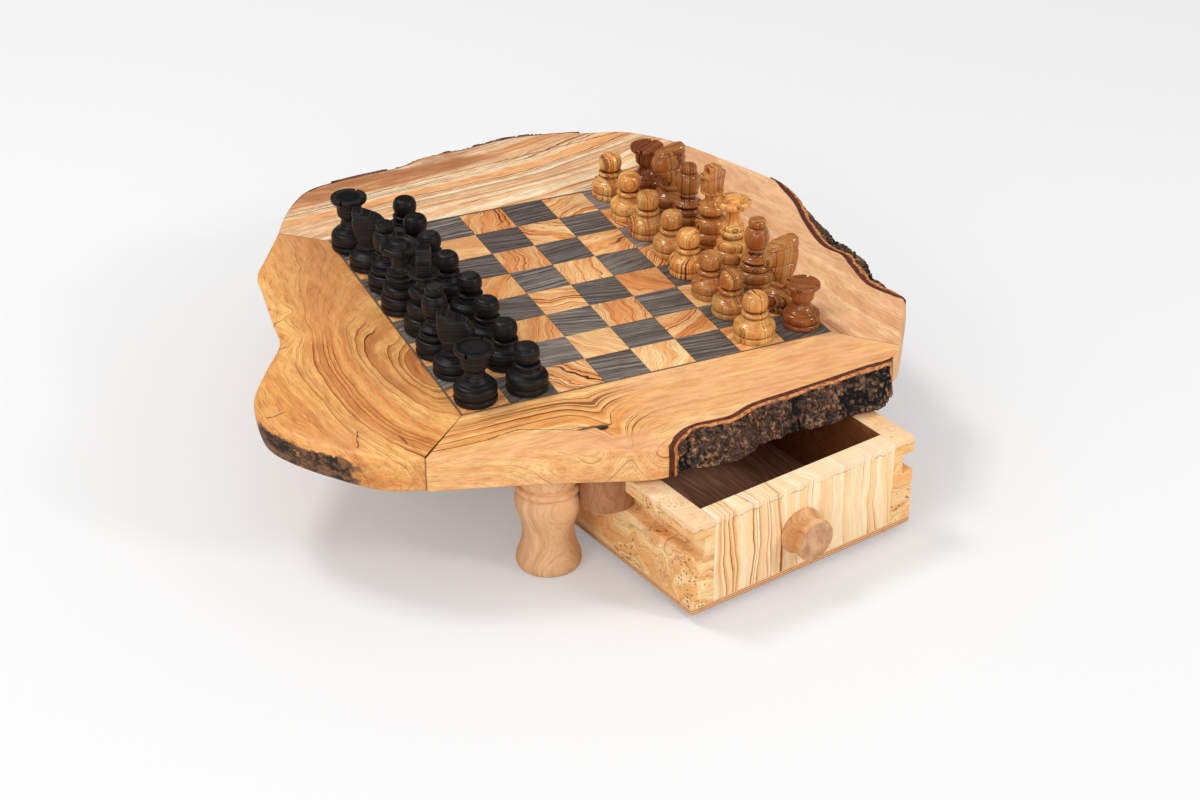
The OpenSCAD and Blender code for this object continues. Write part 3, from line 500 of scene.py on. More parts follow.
def build_bark(tree):
    """Colour by the distance from the wood: dark band, cambium, crust. The crust is black in its
    holes, grey on its ridges and orange where a flake has come off; its sunken cracks are
    painted near black with shade."""
    where = place(tree)
    ragged = where.noise(300, 4, 0.65)
    rim = stored(tree, "rim") + (ragged * 0.9 - 0.45)
    fine = where.noise(400, 7, 0.66)
    crust = fine.eased(0.4, 0.6).between((30, 23, 19), (100, 72, 55))
    crust = where.noise(42, 3, 0.6).eased(0.48, 0.62, 0, 0.35).between(crust, (104, 62, 42))
    ridge = fine.eased(0.44, 0.58).between((62, 42, 31), (160, 118, 86))
    crust = where.noise(130, 4, 0.65).eased(0.5, 0.6, 0, 0.9).between(crust, ridge)
    crust = fine.eased(0.62, 0.68).between(crust, (196, 156, 116))
    flake = fine.eased(0.45, 0.6).between((150, 86, 44), (214, 140, 80))
    crust = where.noise(190, 7, 0.75).eased(0.575, 0.62, 0, 0.95).between(crust, flake)
    crust = where.noise(90, 5, 0.7).eased(0.54, 0.6, 0, 0.6).between(crust, (26, 19, 16))
    # Painted shade: the crust's sunken cracks are darkened near black.
    crust = stored(tree, "crack").eased(0.6, 0.4).between(crust, (15, 11, 9))
    cambium = fine.eased(0.42, 0.62).between((224, 146, 80), (150, 84, 44))
    band = ragged.eased(0.35, 0.65).between((112, 60, 42), (74, 38, 28))
    colour = rim.eased(0.95, 1.1).between(band, cambium)
    colour = rim.eased(1.85, 2.15).between(colour, crust)
    return skin(colour, rim.eased(1.7, 2.2, 0.45, 0.62), fine * rim.eased(1.6, 2.3, 0.1, 1), 0.0018)


def crust_of(p):
    """Broken plates: ridges where slow lumps cross their middle value, on lumps of three sizes.
    From 0 in the cracks to about 1 on the plates."""
    ridge = np.abs(2 * lumps(p, 7.5, 3) - 1) * 0.6 + np.abs(2 * lumps(p, 3, 4) - 1) * 0.4
    plates = np.clip((lumps(p * np.array([1, 1, 0.7]), 13, 5) - 0.35) * 3, 0, 1) * 0.55
    return ridge + plates + 0.4 * lumps(p, 1.2, 6)


def bark_run(first, last, band, cambium, rough, sink, proud):
    """A closed section of the bark, from the wood over the top, down its outer face and back, along
    the log from first to last. Its skin is pushed out and in by the crust past the band and the
    cambium. Gives the points, their distance from the wood counted in layers, and the crust."""
    thinnest, spacing = 0.35, 0.55
    around = np.linspace(first, last, 2000)
    edge, bark, lean, out = along_log(around)
    inside = around[bark > thinnest]
    length = np.r_[0, np.cumsum(np.linalg.norm(np.diff(edge, axis=0), axis=1))]
    reach = np.interp([inside[0], inside[-1]], around, length)
    t = np.interp(np.arange(reach[0], reach[1], spacing), length, around)
    edge, bark, lean, out = along_log(t)
    run = np.interp(t, around, length)
    from_end = np.minimum(run - reach[0], reach[1] - run)
    height = TOP - UNDER
    wood = edge - out * (bark + 0.15)[:, None]
    points, travel = [], []

    def section(start, outward, z, gone):
        points.append(np.c_[start + out * outward[:, None], z + 0 * t])
        travel.append(gone)

    for s in np.linspace(0, 1, 14):
        section(wood, bark * s, TOP, bark * s)
    for s in np.linspace(0, 1, 46)[1:]:
        section(edge, lean * s, TOP - height * s, bark + height * s)
    for s in np.linspace(1, 0, 7)[1:]:
        section(wood, lean + bark * s, UNDER, bark + height + bark * (1 - s))
    section(wood, lean / 2, (TOP + UNDER) / 2, 0 * bark)
    grid, travel = np.stack(points, 1), np.stack(travel, 1)
    near = np.minimum(travel, from_end[:, None] * 0.8 + 0.4)
    near = near * (0.75 + 0.5 * lumps(grid, 6, 9))
    free = np.clip((near - cambium) / 1.2, 0, 1)
    crack = crust_of(grid)
    push = (crack - 0.75) * rough * free * np.clip(from_end / 9, 0.3, 1)[:, None]
    push = np.where(push > 0, push * proud, push)
    side = np.clip((TOP - grid[..., 2]) / 3, 0, 1)
    grid[..., :2] += out[:, None, :] * (push * (0.35 + 0.65 * side))[..., None]
    grid[..., 2] -= np.clip(free * (1 - side) * (sink + (0.9 - crack) * rough * 0.8), 0, 6)
    pitted = grid[..., 2] + 0.9 * (lumps(grid, 2.2, 8) - 0.5) * free * side
    grid[..., 2] = np.clip(pitted, UNDER - 0.6, TOP)
    rim = np.interp(near, [0, band, cambium, cambium + 100], [0, 1, 2, 102])
    points = to_row(grid)
    points[..., :2] = np.clip(points[..., :2], cad_box[0][:2], cad_box[1][:2])
    return points, {"rim": rim.ravel(), "crack": crack.ravel()}


bark_skin = surface("raw_bark", build_bark, Specular_IOR_Level=0.3)
for name, node, *sizes in (
        ("bark_front", "bark_front", FRONT_FROM + 4, RIGHT_FROM - 1, 3.4, 5.6, 4.4, 0.2, 0.95),
        ("bark_right", "bark_sides", RIGHT_FROM + 2, RIGHT_FROM + 11, 3.6, 5.6, 3.4, 0.5, 0.6),
        ("bark_back", "bark_sides", BACK_FROM + 3, BACK_FROM + 10, 0.7, 1.1, 3.2, 0.2, 0.9)):
    points, values = bark_run(*sizes)
    solid(name, points, bark_skin, "bark", "board", (node,), values, sharp=60)

# ---- core board and filler line ----
# A plywood board fills the frame of slabs and carries the squares. Round the field runs a fine
# line of dark filler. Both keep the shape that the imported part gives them.


def plain_wood(name, pale, honey, brown, lie, fibre_turn, gloss, **figure):
    """Wood whose growth is the distance from a pith line, which lies by its pith, turn and
    stretch in Object coordinates."""
    def build(tree):
        where = place(tree)
        colour, line, fibre = olive(where.laid(*lie).length(), where, pale, honey, brown,
                                    along=fibre_turn, **figure)
        roughness = fibre.eased(0.3, 0.7, gloss - 0.06, gloss + 0.08)
        return skin(colour, roughness, line * -0.5 + fibre, 0.00012)
    return surface(name, build, Specular_IOR_Level=0.35)


def build_filler(tree):
    """Dark putty with sanding dust in it."""
    dust = place(tree).noise(900, 4, 0.7)
    colour = dust.eased(0.35, 0.65).between((84, 66, 50), (134, 110, 86))
    return skin(colour, dust.eased(0.3, 0.7, 0.5, 0.7), dust, 0.0001)


def dress(node, material):
    """Gives a CAD node that keeps its shape a better material."""
    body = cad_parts[node]
    body.data.materials.clear()
    body.data.materials.append(material)


core_wood = plain_wood(
    "core_plywood", (214, 178, 134), (188, 146, 102), (140, 100, 66),
    ((0, 0.3, 0), (0, 0, 0), (30, 1, 6)), (0, 0, QUARTER), 0.7,
    warp=0.03, warp_size=0.12, bands=30, rings=90, strength=0.4)
dress("core_board", core_wood)
dress("border_strip", surface("dark_filler", build_filler, Specular_IOR_Level=0.4))

# ---- squares ----
# Sixty-four squares of olive wood, half of them stained black, glued down 0.2 mm apart and sanded
# level. Each was cut from another place in the board, so each has a figure of its own.

SQUARE, THICK, GLUE = 30.0, 5.0, 0.1


def square_wood(name, pale, honey, brown, gloss, deep, **figure):
    """Squares' wood: the stored spot is each square's place and turn in the board it was cut from;
    tone darkens it and calm quietens its lines."""
    def build(tree):
        spot = stored(tree, "spot", "Vector")
        colour, line, fibre = olive(spot.laid(stretch=(1, 3, 1)).length(), spot, pale, honey,
                                    brown, calm=stored(tree, "calm"), **figure)
        roughness = fibre.eased(0.3, 0.7, gloss - 0.06, gloss + 0.06)
        return skin(colour.stained(stored(tree, "tone"), deep), roughness,
                    line * -0.5 + fibre, 0.0001)
    return surface(name, build, Specular_IOR_Level=0.35, Coat_Weight=0.05, Coat_Roughness=0.3)


def squares(name, parity, material, slot, seed, turns, calm_share):
    """A square is a short prism whose top edge is eased by 0.25 mm: four rings of four corners.
    Every square's points are found at once from its file and rank."""
    pick = np.random.default_rng(seed)
    files, ranks = np.meshgrid(np.arange(8), np.arange(8), indexing="ij")
    chosen = (files + ranks) % 2 == parity
    middle = (np.stack([files[chosen], ranks[chosen]], -1) - 3.5) * SQUARE
    n = len(middle)
    half = SQUARE / 2 - GLUE
    corners = [(-1, -1), (1, -1), (1, 1), (-1, 1)]
    rings = [(half, TOP - THICK), (half, TOP - 0.25), (half - 0.1, TOP - 0.06), (half - 0.3, TOP)]
    points = np.repeat([[(x * h, y * h, z) for h, z in rings for x, y in corners]], n, 0)
    points[..., :2] += middle[:, None]
    faces = (np.array(walls(4, 4)) + 16 * np.arange(n)[:, None, None]).reshape(-1, 4).tolist()
    angle = pick.choice(turns, n) + pick.normal(0, 0.18, n)
    shift = pick.uniform(-0.12, 0.12, (n, 3)) + np.array([0.3, 0, 0])
    flat = (points - np.c_[middle, np.full(n, TOP)][:, None]) * MM
    spot = rotated(flat, angle[:, None]) + shift[:, None]
    calm = np.where(pick.random(n) < calm_share, pick.uniform(0.5, 0.95, n),
                    pick.uniform(0, 0.3, n))
    tone = pick.uniform(0, 0.7, n)
    piece(name, to_row(points).reshape(-1, 3), faces, material, slot, "board", sharp=30, values={
        "spot": spot.reshape(-1, 3), "calm": np.repeat(calm, 16), "tone": np.repeat(tone, 16)})


light_square_wood = square_wood(
    "olive_squares", (255, 222, 162), (240, 160, 86), (78, 38, 14), 0.4, (226, 190, 156),
    strength=1.6, glow=(204, 110, 50), warp=0.03, warp_size=0.04, bands=130, rings=260, patch=26,
    line_from=0.8, least=0.1, flames=260)
dark_square_wood = square_wood(
    "black_stained_squares", (166, 153, 142), (68, 61, 56), (28, 25, 22), 0.5, (168, 160, 156),
    warp=0.006, bands=420, rings=800, patch=40, glow=(88, 78, 70), clouds=0.5, fibres=0.6,
    flames=480)
squares("light_squares", 0, light_square_wood, "light_square_wood", 5,
        [0.3, 1.2, 1.9, 2.7, 4.4, 5.6], 0.35)
squares("dark_squares", 1, dark_square_wood, "dark_square_wood", 8, [1.57], 0.3)

# ---- feet ----
# Four feet turned from olive wood, bare and finely sanded: a flared base, a waist, a bulge and a
# thin collar under the slab. Each is glued into the slab by a tenon.


def turned(name, profile, centre, material, slot, body, values=None, cuts=None):
    """Solid of revolution: the profile's radius at each height, carried round a circle. The ends
    close on the axis. Cuts across the rim lower the points that lie outside their inner radius and
    nearer to a cut's line, by arc length, than half its width."""
    r, z = np.maximum(profile[:, 0], 0.02)[:, None], profile[:, 1][:, None]
    angle = np.linspace(0, 2 * np.pi, 160 if cuts else 72, endpoint=False)
    if cuts:
        count, inner, bottom, wide = cuts
        lap = (angle + TURN - math.pi / 4) * count / (2 * np.pi)
        off = np.abs(lap - np.round(lap)) * 2 * np.pi / count * r
        z = np.where((off < wide / 2) & (r > inner), np.minimum(z, bottom), z)
    grid = np.stack([r * np.cos(angle), r * np.sin(angle), z + 0 * angle], -1) * MM + centre
    solid(name, grid, material, slot, body, sharp=40,
          values=values(grid.reshape(-1, 3)) if values else None)


def smooth(points, steps=6):
    """Smooth curve through points, the end points repeated."""
    p = np.array([points[0], *points, points[-1]], float)
    s = np.linspace(0, 1, steps, endpoint=False)[:, None]
    out = [cubic(*four, s) for four in zip(p, p[1:], p[2:], p[3:])]
    return np.concatenate(out + [p[-1:]]).tolist()


def bead(z0, z1, r0, r_max, r1, steps=12):
    """Half-round swelling between two heights: from r0 out to r_max and back to r1 by the sine of
    the angle round it."""
    a = np.linspace(0, np.pi, steps)
    end = np.where(a < np.pi / 2, r0, r1)
    return np.c_[end + (r_max - end) * np.sin(a), z0 + (z1 - z0) * (1 - np.cos(a)) / 2].tolist()


foot_wood = plain_wood(
    "sanded_foot_wood", (240, 190, 142), (204, 148, 100), (150, 96, 60),
    ((-0.05, 0.06, 0.03), (0, 0.15, 0), (1, 1, 3.2)), (QUARTER, 0, 0), 0.62,
    warp=0.01, bands=260, rings=520, strength=0.25, fibres=0.35, clouds=0.3, depth=0.35,
    glow=(196, 138, 92))
FOOT = np.array(
    [(0, 0), (17.8, 0), (18.6, 0.5)]
    + smooth([(19.2, 1.6), (19.5, 3.6), (18.9, 7), (17, 12.5), (15.5, 19), (15.4, 25), (16.4, 31),
              (18.3, 37), (19.4, 42.5), (19.5, 46.5), (18.7, 49.6), (17.4, 51.2), (16.8, 51.6)])
    + bead(51.7, 56.4, 16.9, 19.5, 17.2) + [(17, 56.8)]
    + smooth([(17.3, 57.2), (18.4, 59.5), (18.9, 63), (18.6, 66), (18.2, 67.9)]) + [(0, 68)])
for name in ("foot_front_left", "foot_front_right", "foot_back_left", "foot_back_right"):
    turned(name, FOOT, middle_of(name) * (1, 1, 0), foot_wood, "turned_foot_wood", "board")

# ---- runner blocks and stop ----
# Turned blocks under the slabs carry the drawers: each is cut back to a tongue that runs in the
# drawer's groove. A batten under the core stops both drawers. All are bare wood, glued on.

block_wood = plain_wood(
    "sanded_block_wood", (190, 136, 94), (156, 102, 66), (104, 62, 38),
    ((0, 0.1, 0.02), (0, 0.1, 0.3), (1, 1, 3)), (QUARTER, 0, 0), 0.6,
    warp=0.012, bands=130, rings=300, strength=0.6, glow=(140, 88, 54))
dress("runner_blocks", block_wood)
dress("centre_stop", core_wood)

# ---- drawers ----
# Two drawers of bare olive wood: boards glued end to side on a plywood bottom, with a groove along
# each outer face. Their edges are sanded by hand and a little worn.

HALF_W, LONG, HIGH, PLY = 82.5, 168.0, 60.0, 4.0
SIDE_T, FRONT_T, BACK_T = 15.5, 13.5, 12.0
GROOVE_FROM, GROOVE_TO, GROOVE_DEEP = 37.5, 50.0, 8.5
FLOOR_GAP = 5.0


def milled(outline, start, end, ease=0.35, corner=0.9):
    """A board's outline in x and z, each corner rounded by a small arc, carried along y from start
    to end. The end sections step in by the ease along a quarter circle, towards the board."""
    p = np.array(outline, float)
    before, after = np.roll(p, 1, 0) - p, np.roll(p, -1, 0) - p
    before /= np.linalg.norm(before, axis=1)[:, None]
    after /= np.linalg.norm(after, axis=1)[:, None]
    s = np.linspace(0, 1, 4)[None, :, None]
    a, b = (p + before * corner)[:, None], (p + after * corner)[:, None]
    ring = (a * (1 - s) ** 2 + 2 * p[:, None] * s * (1 - s) + b * s ** 2).reshape(-1, 2)
    following = np.roll(ring, -1, 0)
    way = following - np.roll(ring, 1, 0)
    way /= np.linalg.norm(way, axis=1)[:, None]
    area = (ring[:, 0] * following[:, 1] - following[:, 0] * ring[:, 1]).sum()
    inward = np.c_[-way[:, 1], way[:, 0]] * np.sign(area)
    depth = [(start + ease * (1 - math.cos(k)), ease * (1 - math.sin(k)))
             for k in np.radians([0, 30, 60, 90])]
    length = np.linspace(start + ease, end - ease, 24)[1:-1]
    rows = depth + [(y, 0) for y in length] + [(end + start - y, d) for y, d in depth[::-1]]
    return np.array([[(x, y, z) for x, z in ring + inward * d] for y, d in rows])


def drawer_wood(name, pale, honey, brown, lie, fibre_turn, worn, knots=0, **figure):
    """Bare olive: rings from a pith line, swollen round clusters of small dark eyes; a whitish worn
    top edge with a ragged brown line under it; and painted shade darkening the faces inside
    the drawer."""
    def build(tree):
        where = stored(tree, "spot", "Vector")
        cluster = where.noise(30).eased(0.5, 0.62, 0, knots)
        growth = cluster * 0.012 + where.laid(*lie).length()
        colour, line, fibre = olive(growth, where, pale, honey, brown, along=fibre_turn, **figure)
        cells = wire(tree, "TexVoronoi", "Distance", {"Vector": where, "Scale": 330})
        colour = (cells.eased(0.16, 0.34, 1, 0) * cluster).between(colour, (92, 48, 22))
        under_edge = where.noise(90, 4, 0.6) * 0.008 + where.axis("Z")
        patchy = where.noise(45, 3, 0.6).eased(0.35, 0.6, 0.35, 1)
        edge = under_edge.eased(0.06, 0.0606, 0, worn) * patchy
        colour = edge.between(colour, (246, 220, 186))
        brink = (under_edge - 0.0601).maths("ABSOLUTE").eased(0.0001, 0.0006, worn, 0)
        brink = brink * where.noise(130).eased(0.42, 0.56)
        colour = brink.between(colour, (176, 106, 54))
        # Painted shade: the faces inside the drawer are darkened as if in shadow.
        colour = colour.stained(stored(tree, "inner"), (140, 104, 84))
        return skin(colour, fibre.eased(0.3, 0.7, 0.52, 0.66), line * -0.4 + fibre, 0.00014)
    return surface(name, build, Specular_IOR_Level=0.35)


def build_ply(tree):
    """Plywood: brown face, and thin layers along its edge by height."""
    where = stored(tree, "spot", "Vector")
    height = where.axis("Z")
    ragged = where.noise(300, 4, 0.6)
    layers = (height * 4700).maths("SINE").eased(-0.2, 0.4)
    edge = layers.between((240, 190, 138), (164, 96, 56))
    edge = ragged.eased(0.58, 0.7, 0, 0.4).between(edge, (118, 66, 40))
    face = where.laid(stretch=(1, 14, 1)).noise(500, 4, 0.6).eased(0.35, 0.65)
    face = face.between((226, 172, 138), (176, 128, 100))
    colour = height.eased(0.00385, 0.00398).between(edge, face)
    return skin(colour, ragged.eased(0.3, 0.7, 0.6, 0.75), ragged, 0.0001)


face_board_wood = drawer_wood(
    "striped_drawer_front", (255, 236, 198), (250, 206, 146), (146, 74, 28),
    ((0.32, 0, 0), (0, -0.06, 0), (1, 6, 10)), (QUARTER, 0, 0), 0.6, warp=0.022, warp_size=0.045,
    bands=110, rings=190, strength=2.2, sweep=2, glow=(232, 164, 96), fibres=0.15, clouds=0.25,
    line_from=0.86, depth=0.8, least=0.4)
side_board_wood = drawer_wood(
    "burl_drawer_sides", (255, 230, 174), (248, 180, 106), (130, 70, 32),
    ((-0.2, 0, 0.05), (0, 0, 0), (3, 5, 1)), (0, 0, 0), 0.5, knots=0.9, warp=0.03, warp_size=0.03,
    rings=140, strength=0.6, patch=30, glow=(206, 134, 72))
rear_board_wood = drawer_wood(
    "drawer_back_wood", (150, 108, 78), (122, 82, 58), (80, 50, 34),
    ((0, 0, -0.2), (0, 0, 0), (9, 9, 1)), (0, 0, QUARTER), 0.2, warp_size=0.06, rings=200,
    strength=0.5)
ply_wood = surface("drawer_plywood", build_ply, Specular_IOR_Level=0.3)

inner_x, groove_x = HALF_W - SIDE_T, HALF_W - GROOVE_DEEP
grooved = [(HALF_W, PLY), (inner_x, PLY), (inner_x, HIGH), (HALF_W, HIGH), (HALF_W, GROOVE_TO),
           (groove_x, GROOVE_TO), (groove_x, GROOVE_FROM), (HALF_W, GROOVE_FROM)]
across = [(-inner_x, PLY), (inner_x, PLY), (inner_x, HIGH), (-inner_x, HIGH)]
under = [(-HALF_W, 0), (HALF_W, 0), (HALF_W, PLY), (-HALF_W, PLY)]
# Each board's outline, its reach back from the drawer's face, its wood and its finish.
BOARDS = {"left": ([(-x, z) for x, z in grooved], 0, LONG, side_board_wood, "drawer_side_wood"),
          "right": (grooved, 0, LONG, side_board_wood, "drawer_side_wood"),
          "front": (across, 0, FRONT_T, face_board_wood, "drawer_front_wood"),
          "back": (across, LONG - BACK_T, LONG, rear_board_wood, "drawer_back_wood"),
          "bottom": (under, 0, LONG, ply_wood, "drawer_plywood")}
for which, way in (("front", 1), ("back", -1)):
    low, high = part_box(f"{which}_drawer_bottom")
    origin = ((low.x + high.x) / 2, low.y if way > 0 else high.y, FLOOR_GAP * MM)
    for board, (outline, start, end, *look) in BOARDS.items():
        local = milled(outline, start, end)
        spot = local.reshape(-1, 3)
        # Points on the faces inside the drawer, which get painted shade.
        inner = ((np.abs(spot[:, 0]) < inner_x + 0.15) & (spot[:, 1] > FRONT_T - 0.2)
                 & (spot[:, 1] < LONG - BACK_T + 0.2))
        solid(f"{which}_drawer_{board}", local * MM * (way, way, 1) + origin, *look,
              f"drawer_{which}", values={"spot": spot * MM, "inner": inner}, sharp=40)

# ---- knobs ----
# A turned knob on each drawer: a flared foot, a shallow waist and a domed end-grain face. Its
# spigot is glued into the front board.

KNOB = np.array(
    [(0, 0), (14.1, 0), (14.5, 0.5), (14.4, 1.4), (13.9, 1.9)]
    + smooth([(13.6, 2.4), (12.7, 3.8), (12.2, 6), (12.2, 8.4), (12.6, 10.4), (12.9, 11.2)])
    + [(13, 12.2), (13, 13.5), (12.75, 14.1), (12.3, 14.45), (11.8, 14.6), (9, 14.75), (5, 14.9),
       (0, 14.98)])
FACE_FROM, SPIGOT = 14.5, 10.0


def build_knob(tree):
    """Grain along the knob's length, so its side shows streaks and its face end grain, which is
    duller and blotched."""
    spot = stored(tree, "spot", "Vector")
    colour, line, fibre = olive(
        spot.laid((0.02, 0, 0), stretch=(1, 9, 1)).length(), spot, (242, 194, 142),
        (216, 158, 104), (160, 104, 62), warp=0.006, warp_size=0.02, bands=220, rings=420,
        strength=0.6, patch=60)
    blotch = spot.noise(150, 4, 0.6).eased(0.35, 0.65).between((214, 166, 126), (164, 120, 90))
    colour = (stored(tree, "end") * 0.7).between(colour, blotch)
    return skin(colour, fibre.eased(0.3, 0.7, 0.45, 0.6), fibre, 0.0001)


knob_wood = surface("turned_knob_wood", build_knob, Specular_IOR_Level=0.4)
for which, way in (("front", 1), ("back", -1)):
    name = f"{which}_drawer_knob"
    low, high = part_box(name)
    base = high.y - SPIGOT * MM if way > 0 else low.y + SPIGOT * MM
    centre = middle_of(name) * (1, 0, 1) + (0, base, 0)
    angle = np.linspace(0, 2 * np.pi, 64, endpoint=False)
    r, out = np.maximum(KNOB[:, 0], 0.02)[:, None], KNOB[:, 1][:, None]
    spot = np.stack([r * np.cos(angle), -way * out + 0 * angle, r * np.sin(angle)], -1) * MM
    end = np.repeat(np.clip((KNOB[:, 1] - FACE_FROM) * 20, 0, 1), len(angle))
    solid(name, spot + centre, knob_wood, "knob_wood", f"drawer_{which}",
          values={"spot": spot.reshape(-1, 3), "end": end}, sharp=28)

# ---- chessmen ----
# Thirty-two men turned from olive wood, a base disc and a bead under every one. The light ones are
# oiled and polished, the black ones stained and left satin. They stand loose on their squares.

BASE_H, BEAD_H, GROOVE = 4.2, 7.0, 1.3
SHOULDER = BASE_H + BEAD_H
RIM_CUT, RIM_CUT_WIDE = 2.6, 1.6
TONES = {"pawn_1": 0.3, "pawn_2": 0.6, "pawn_3": 0.55, "pawn_4": 0.1, "pawn_5": 0.4,
         "pawn_6": 0.4, "pawn_7": 0.05, "pawn_8": 0.15, "rook_front": 0.9, "knight_front": 0.65,
         "bishop_front": 0.65, "queen": 0.1, "king": 0.45, "bishop_back": 0.8,
         "knight_back": 0.75, "rook_back": 0.95}


def men_wood(name, pale, honey, brown, glow, deep, gloss, coat, strength, rate, rings_seen, worn):
    """Straight-grained turning stock: rings nearly flat across each man, from his own place in the
    plank, which is stored; tone darkens it, shade is painted into the grooves, and calm quietens
    its lines. The turning tool leaves fine rings by height, which the stain shows up."""
    def build(tree):
        spot = stored(tree, "spot", "Vector")
        colour, line, fibre = olive(
            spot.laid(stretch=(1, 1, 14)).length(), spot, pale, honey, brown, warp=0.008,
            warp_size=0.02, sweep=4, calm=stored(tree, "calm"), bands=rate, rings=rate * 1.4,
            strength=strength, along=(QUARTER, 0, 0), patch=60, glow=glow, least=0.4)
        colour = colour.stained(stored(tree, "tone"), deep)
        # Painted shade: the grooves are darkened by how deep they lie.
        colour = colour.stained(stored(tree, "hollow").eased(0, 1, 0, 0.9), deep)
        cut = spot.axis("Z").noise(1500, 2, 0.6)
        colour = cut.eased(0.4, 0.7, 0, rings_seen).between(colour, worn)
        roughness = fibre.eased(0.3, 0.7, gloss - 0.05, gloss + 0.08)
        height = cut * (rings_seen * 4) + (line * -0.4 + fibre)
        return skin(colour, roughness, height, 0.00012)
    return surface(name, build, Specular_IOR_Level=0.28, Coat_Weight=coat, Coat_Roughness=0.05)


MEN_WOOD = {
    "light": men_wood("polished_light_men", (255, 212, 126), (240, 144, 60), (74, 32, 12),
                      (184, 88, 32), (140, 98, 72), 0.26, 0.5, 2.4, 330, 0, (255, 220, 170)),
    "black": men_wood("satin_black_men", (22, 20, 19), (13, 12, 11), (6, 5, 5),
                      (8, 7, 7), (210, 200, 192), 0.42, 0, 0.8, 420, 0.55, (58, 54, 51))}


def stands_at(name):
    """A man's foot point, the middle of the lowest points of his CAD node, his height and the
    width of his foot, in millimetres."""
    co = np.array([v.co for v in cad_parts[name].data.vertices])
    low, high = co[:, 2].min(), co[:, 2].max()
    foot = co[co[:, 2] < low + 3 * MM]
    middle = (foot.min(0) + foot.max(0)) / 2
    return np.array([middle[0], middle[1], low]), (high - low) / MM, np.ptp(foot[:, 0]) / MM


def man_values(name, foot, hollow):
    """Where in the plank a man was cut, his tone and his calm, drawn from his name; and how deep
    in a groove each row of his points is, which sets the shade painted there."""
    pick = np.random.default_rng(sum(ord(c) * (k + 1) for k, c in enumerate(name)))
    angle = pick.uniform(0, 2 * np.pi)
    shift = np.array([0.22, 0, 0]) + pick.uniform(-0.08, 0.08, 3)
    tone = TONES.get(name.removeprefix("light_"), pick.uniform(0, 1))
    calm = pick.uniform(0, 0.45)

    def values(points):
        n = len(points)
        return {"spot": rotated(points - foot, angle) + shift, "tone": np.full(n, tone),
                "calm": np.full(n, calm), "hollow": np.repeat(hollow, n // len(hollow))}
    return values


def painted_groove_shade_of(profile):
    """How far a profile's radius lies inside the lesser of its widest neighbours above and below,
    made faint near the top and nothing past it. It sets the shade painted into the grooves."""
    r, z = profile.T
    reach = 2.6
    over = np.array([min(r[(z >= k) & (z < k + reach)].max(), r[(z <= k) & (z > k - reach)].max())
                     for k in z])
    deep = np.clip((over - r) / 1.5, 0, 1) * (np.arange(len(z)) <= z.argmax())
    return deep * np.where(z > z.max() - 5, 0.3, 1)


def man_base(d):
    """Base disc and bead, with a V groove between them."""
    r = d / 2
    return ([(0, 0), (r - 1, 0)] + bead(0.2, BASE_H, r - GROOVE / 2, r, r - GROOVE)
            + bead(BASE_H, SHOULDER, r - GROOVE, r, r - 2 * GROOVE, 18))


def turn_man(name, profile, kind_h, kind_d, count=0, rim_r=0, rim_z=0):
    """Turns a man's profile, widened and heightened to the size of his CAD node, with a count of
    cuts across a rim of that radius and height. Gives how much he was heightened and widened."""
    side = name.split("_")[0]
    foot, high, wide = stands_at(name)
    w, h = wide / kind_d, high / kind_h
    profile = np.array(profile) * (w, h)
    cuts = (count, rim_r * w - RIM_CUT, rim_z * h - RIM_CUT, RIM_CUT_WIDE) if count else None
    turned(name, profile, foot, MEN_WOOD[side], f"{side}_men_wood", name,
           man_values(name, foot, painted_groove_shade_of(profile)), cuts)
    return h, w


PAWN_D, PAWN_H = 25.5, 29.5
PAWN = (man_base(PAWN_D) + smooth([(10.2, 11.3), (9, 12.2), (8.4, 13.4), (8.1, 13.9), (7, 15)], 4)
        + bead(15.2, 18.2, 6.9, 8.2, 5.6) + bead(18.4, PAWN_H - 0.25, 5.2, 7.8, 4.6, 20)
        + smooth([(4.4, PAWN_H - 0.1), (3, PAWN_H), (0.02, PAWN_H)], 3))

ROOK_D, ROOK_H, ROOK_RIM = 24.5, 33.5, 11.25
ROOK = (man_base(ROOK_D) + bead(10.2, 12.6, 8.7, 9.8, 8.6)
        + smooth([(8, 13), (6.8, 14.4), (5.8, 16.4), (5.3, 18.2), (5.6, 19.6), (6.9, 20.9),
                  (7.6, 22.4), (7.8, 25.6), (7.6, 28.8)])
        + smooth([(8.6, 29.3), (10.4, 30), (11.15, 31), (ROOK_RIM, 32.4), (10.9, 33.2),
                  (10.2, ROOK_H)], 4)
        + smooth([(9, ROOK_H - 0.35), (6, ROOK_H - 0.6), (2, ROOK_H - 0.6),
                  (0.02, ROOK_H - 0.6)], 4))

QUEEN_D, QUEEN_H, QUEEN_RIM = 26.0, 45.5, 13.0
CROWN_Z = QUEEN_H - 2.6
QUEEN = (man_base(QUEEN_D) + bead(11.2, 17.2, 10.5, 11.2, 8, 14) + [(6.8, 18.4), (6.9, 20)]
         + bead(20.2, 23.7, 7.2, 9.25, 7.45) + bead(23.7, 27.2, 7.45, 8.25, 6.2)
         + smooth([(5.6, 28.2), (5.2, 30), (5, 33), (5, 35.4), (6, 36.9), (8.6, 37.8),
                   (10.9, 38.7), (11.9, 39.8), (12, 41.4), (11.5, 42.5), (10.6, CROWN_Z)])
         + smooth([(9.4, 42.6), (7.6, 41.8), (6.5, 41.8), (6.1, 42.4), (5.8, 43.5), (5, 44.6),
                   (3.2, 45.3), (0.02, QUEEN_H)], 4))

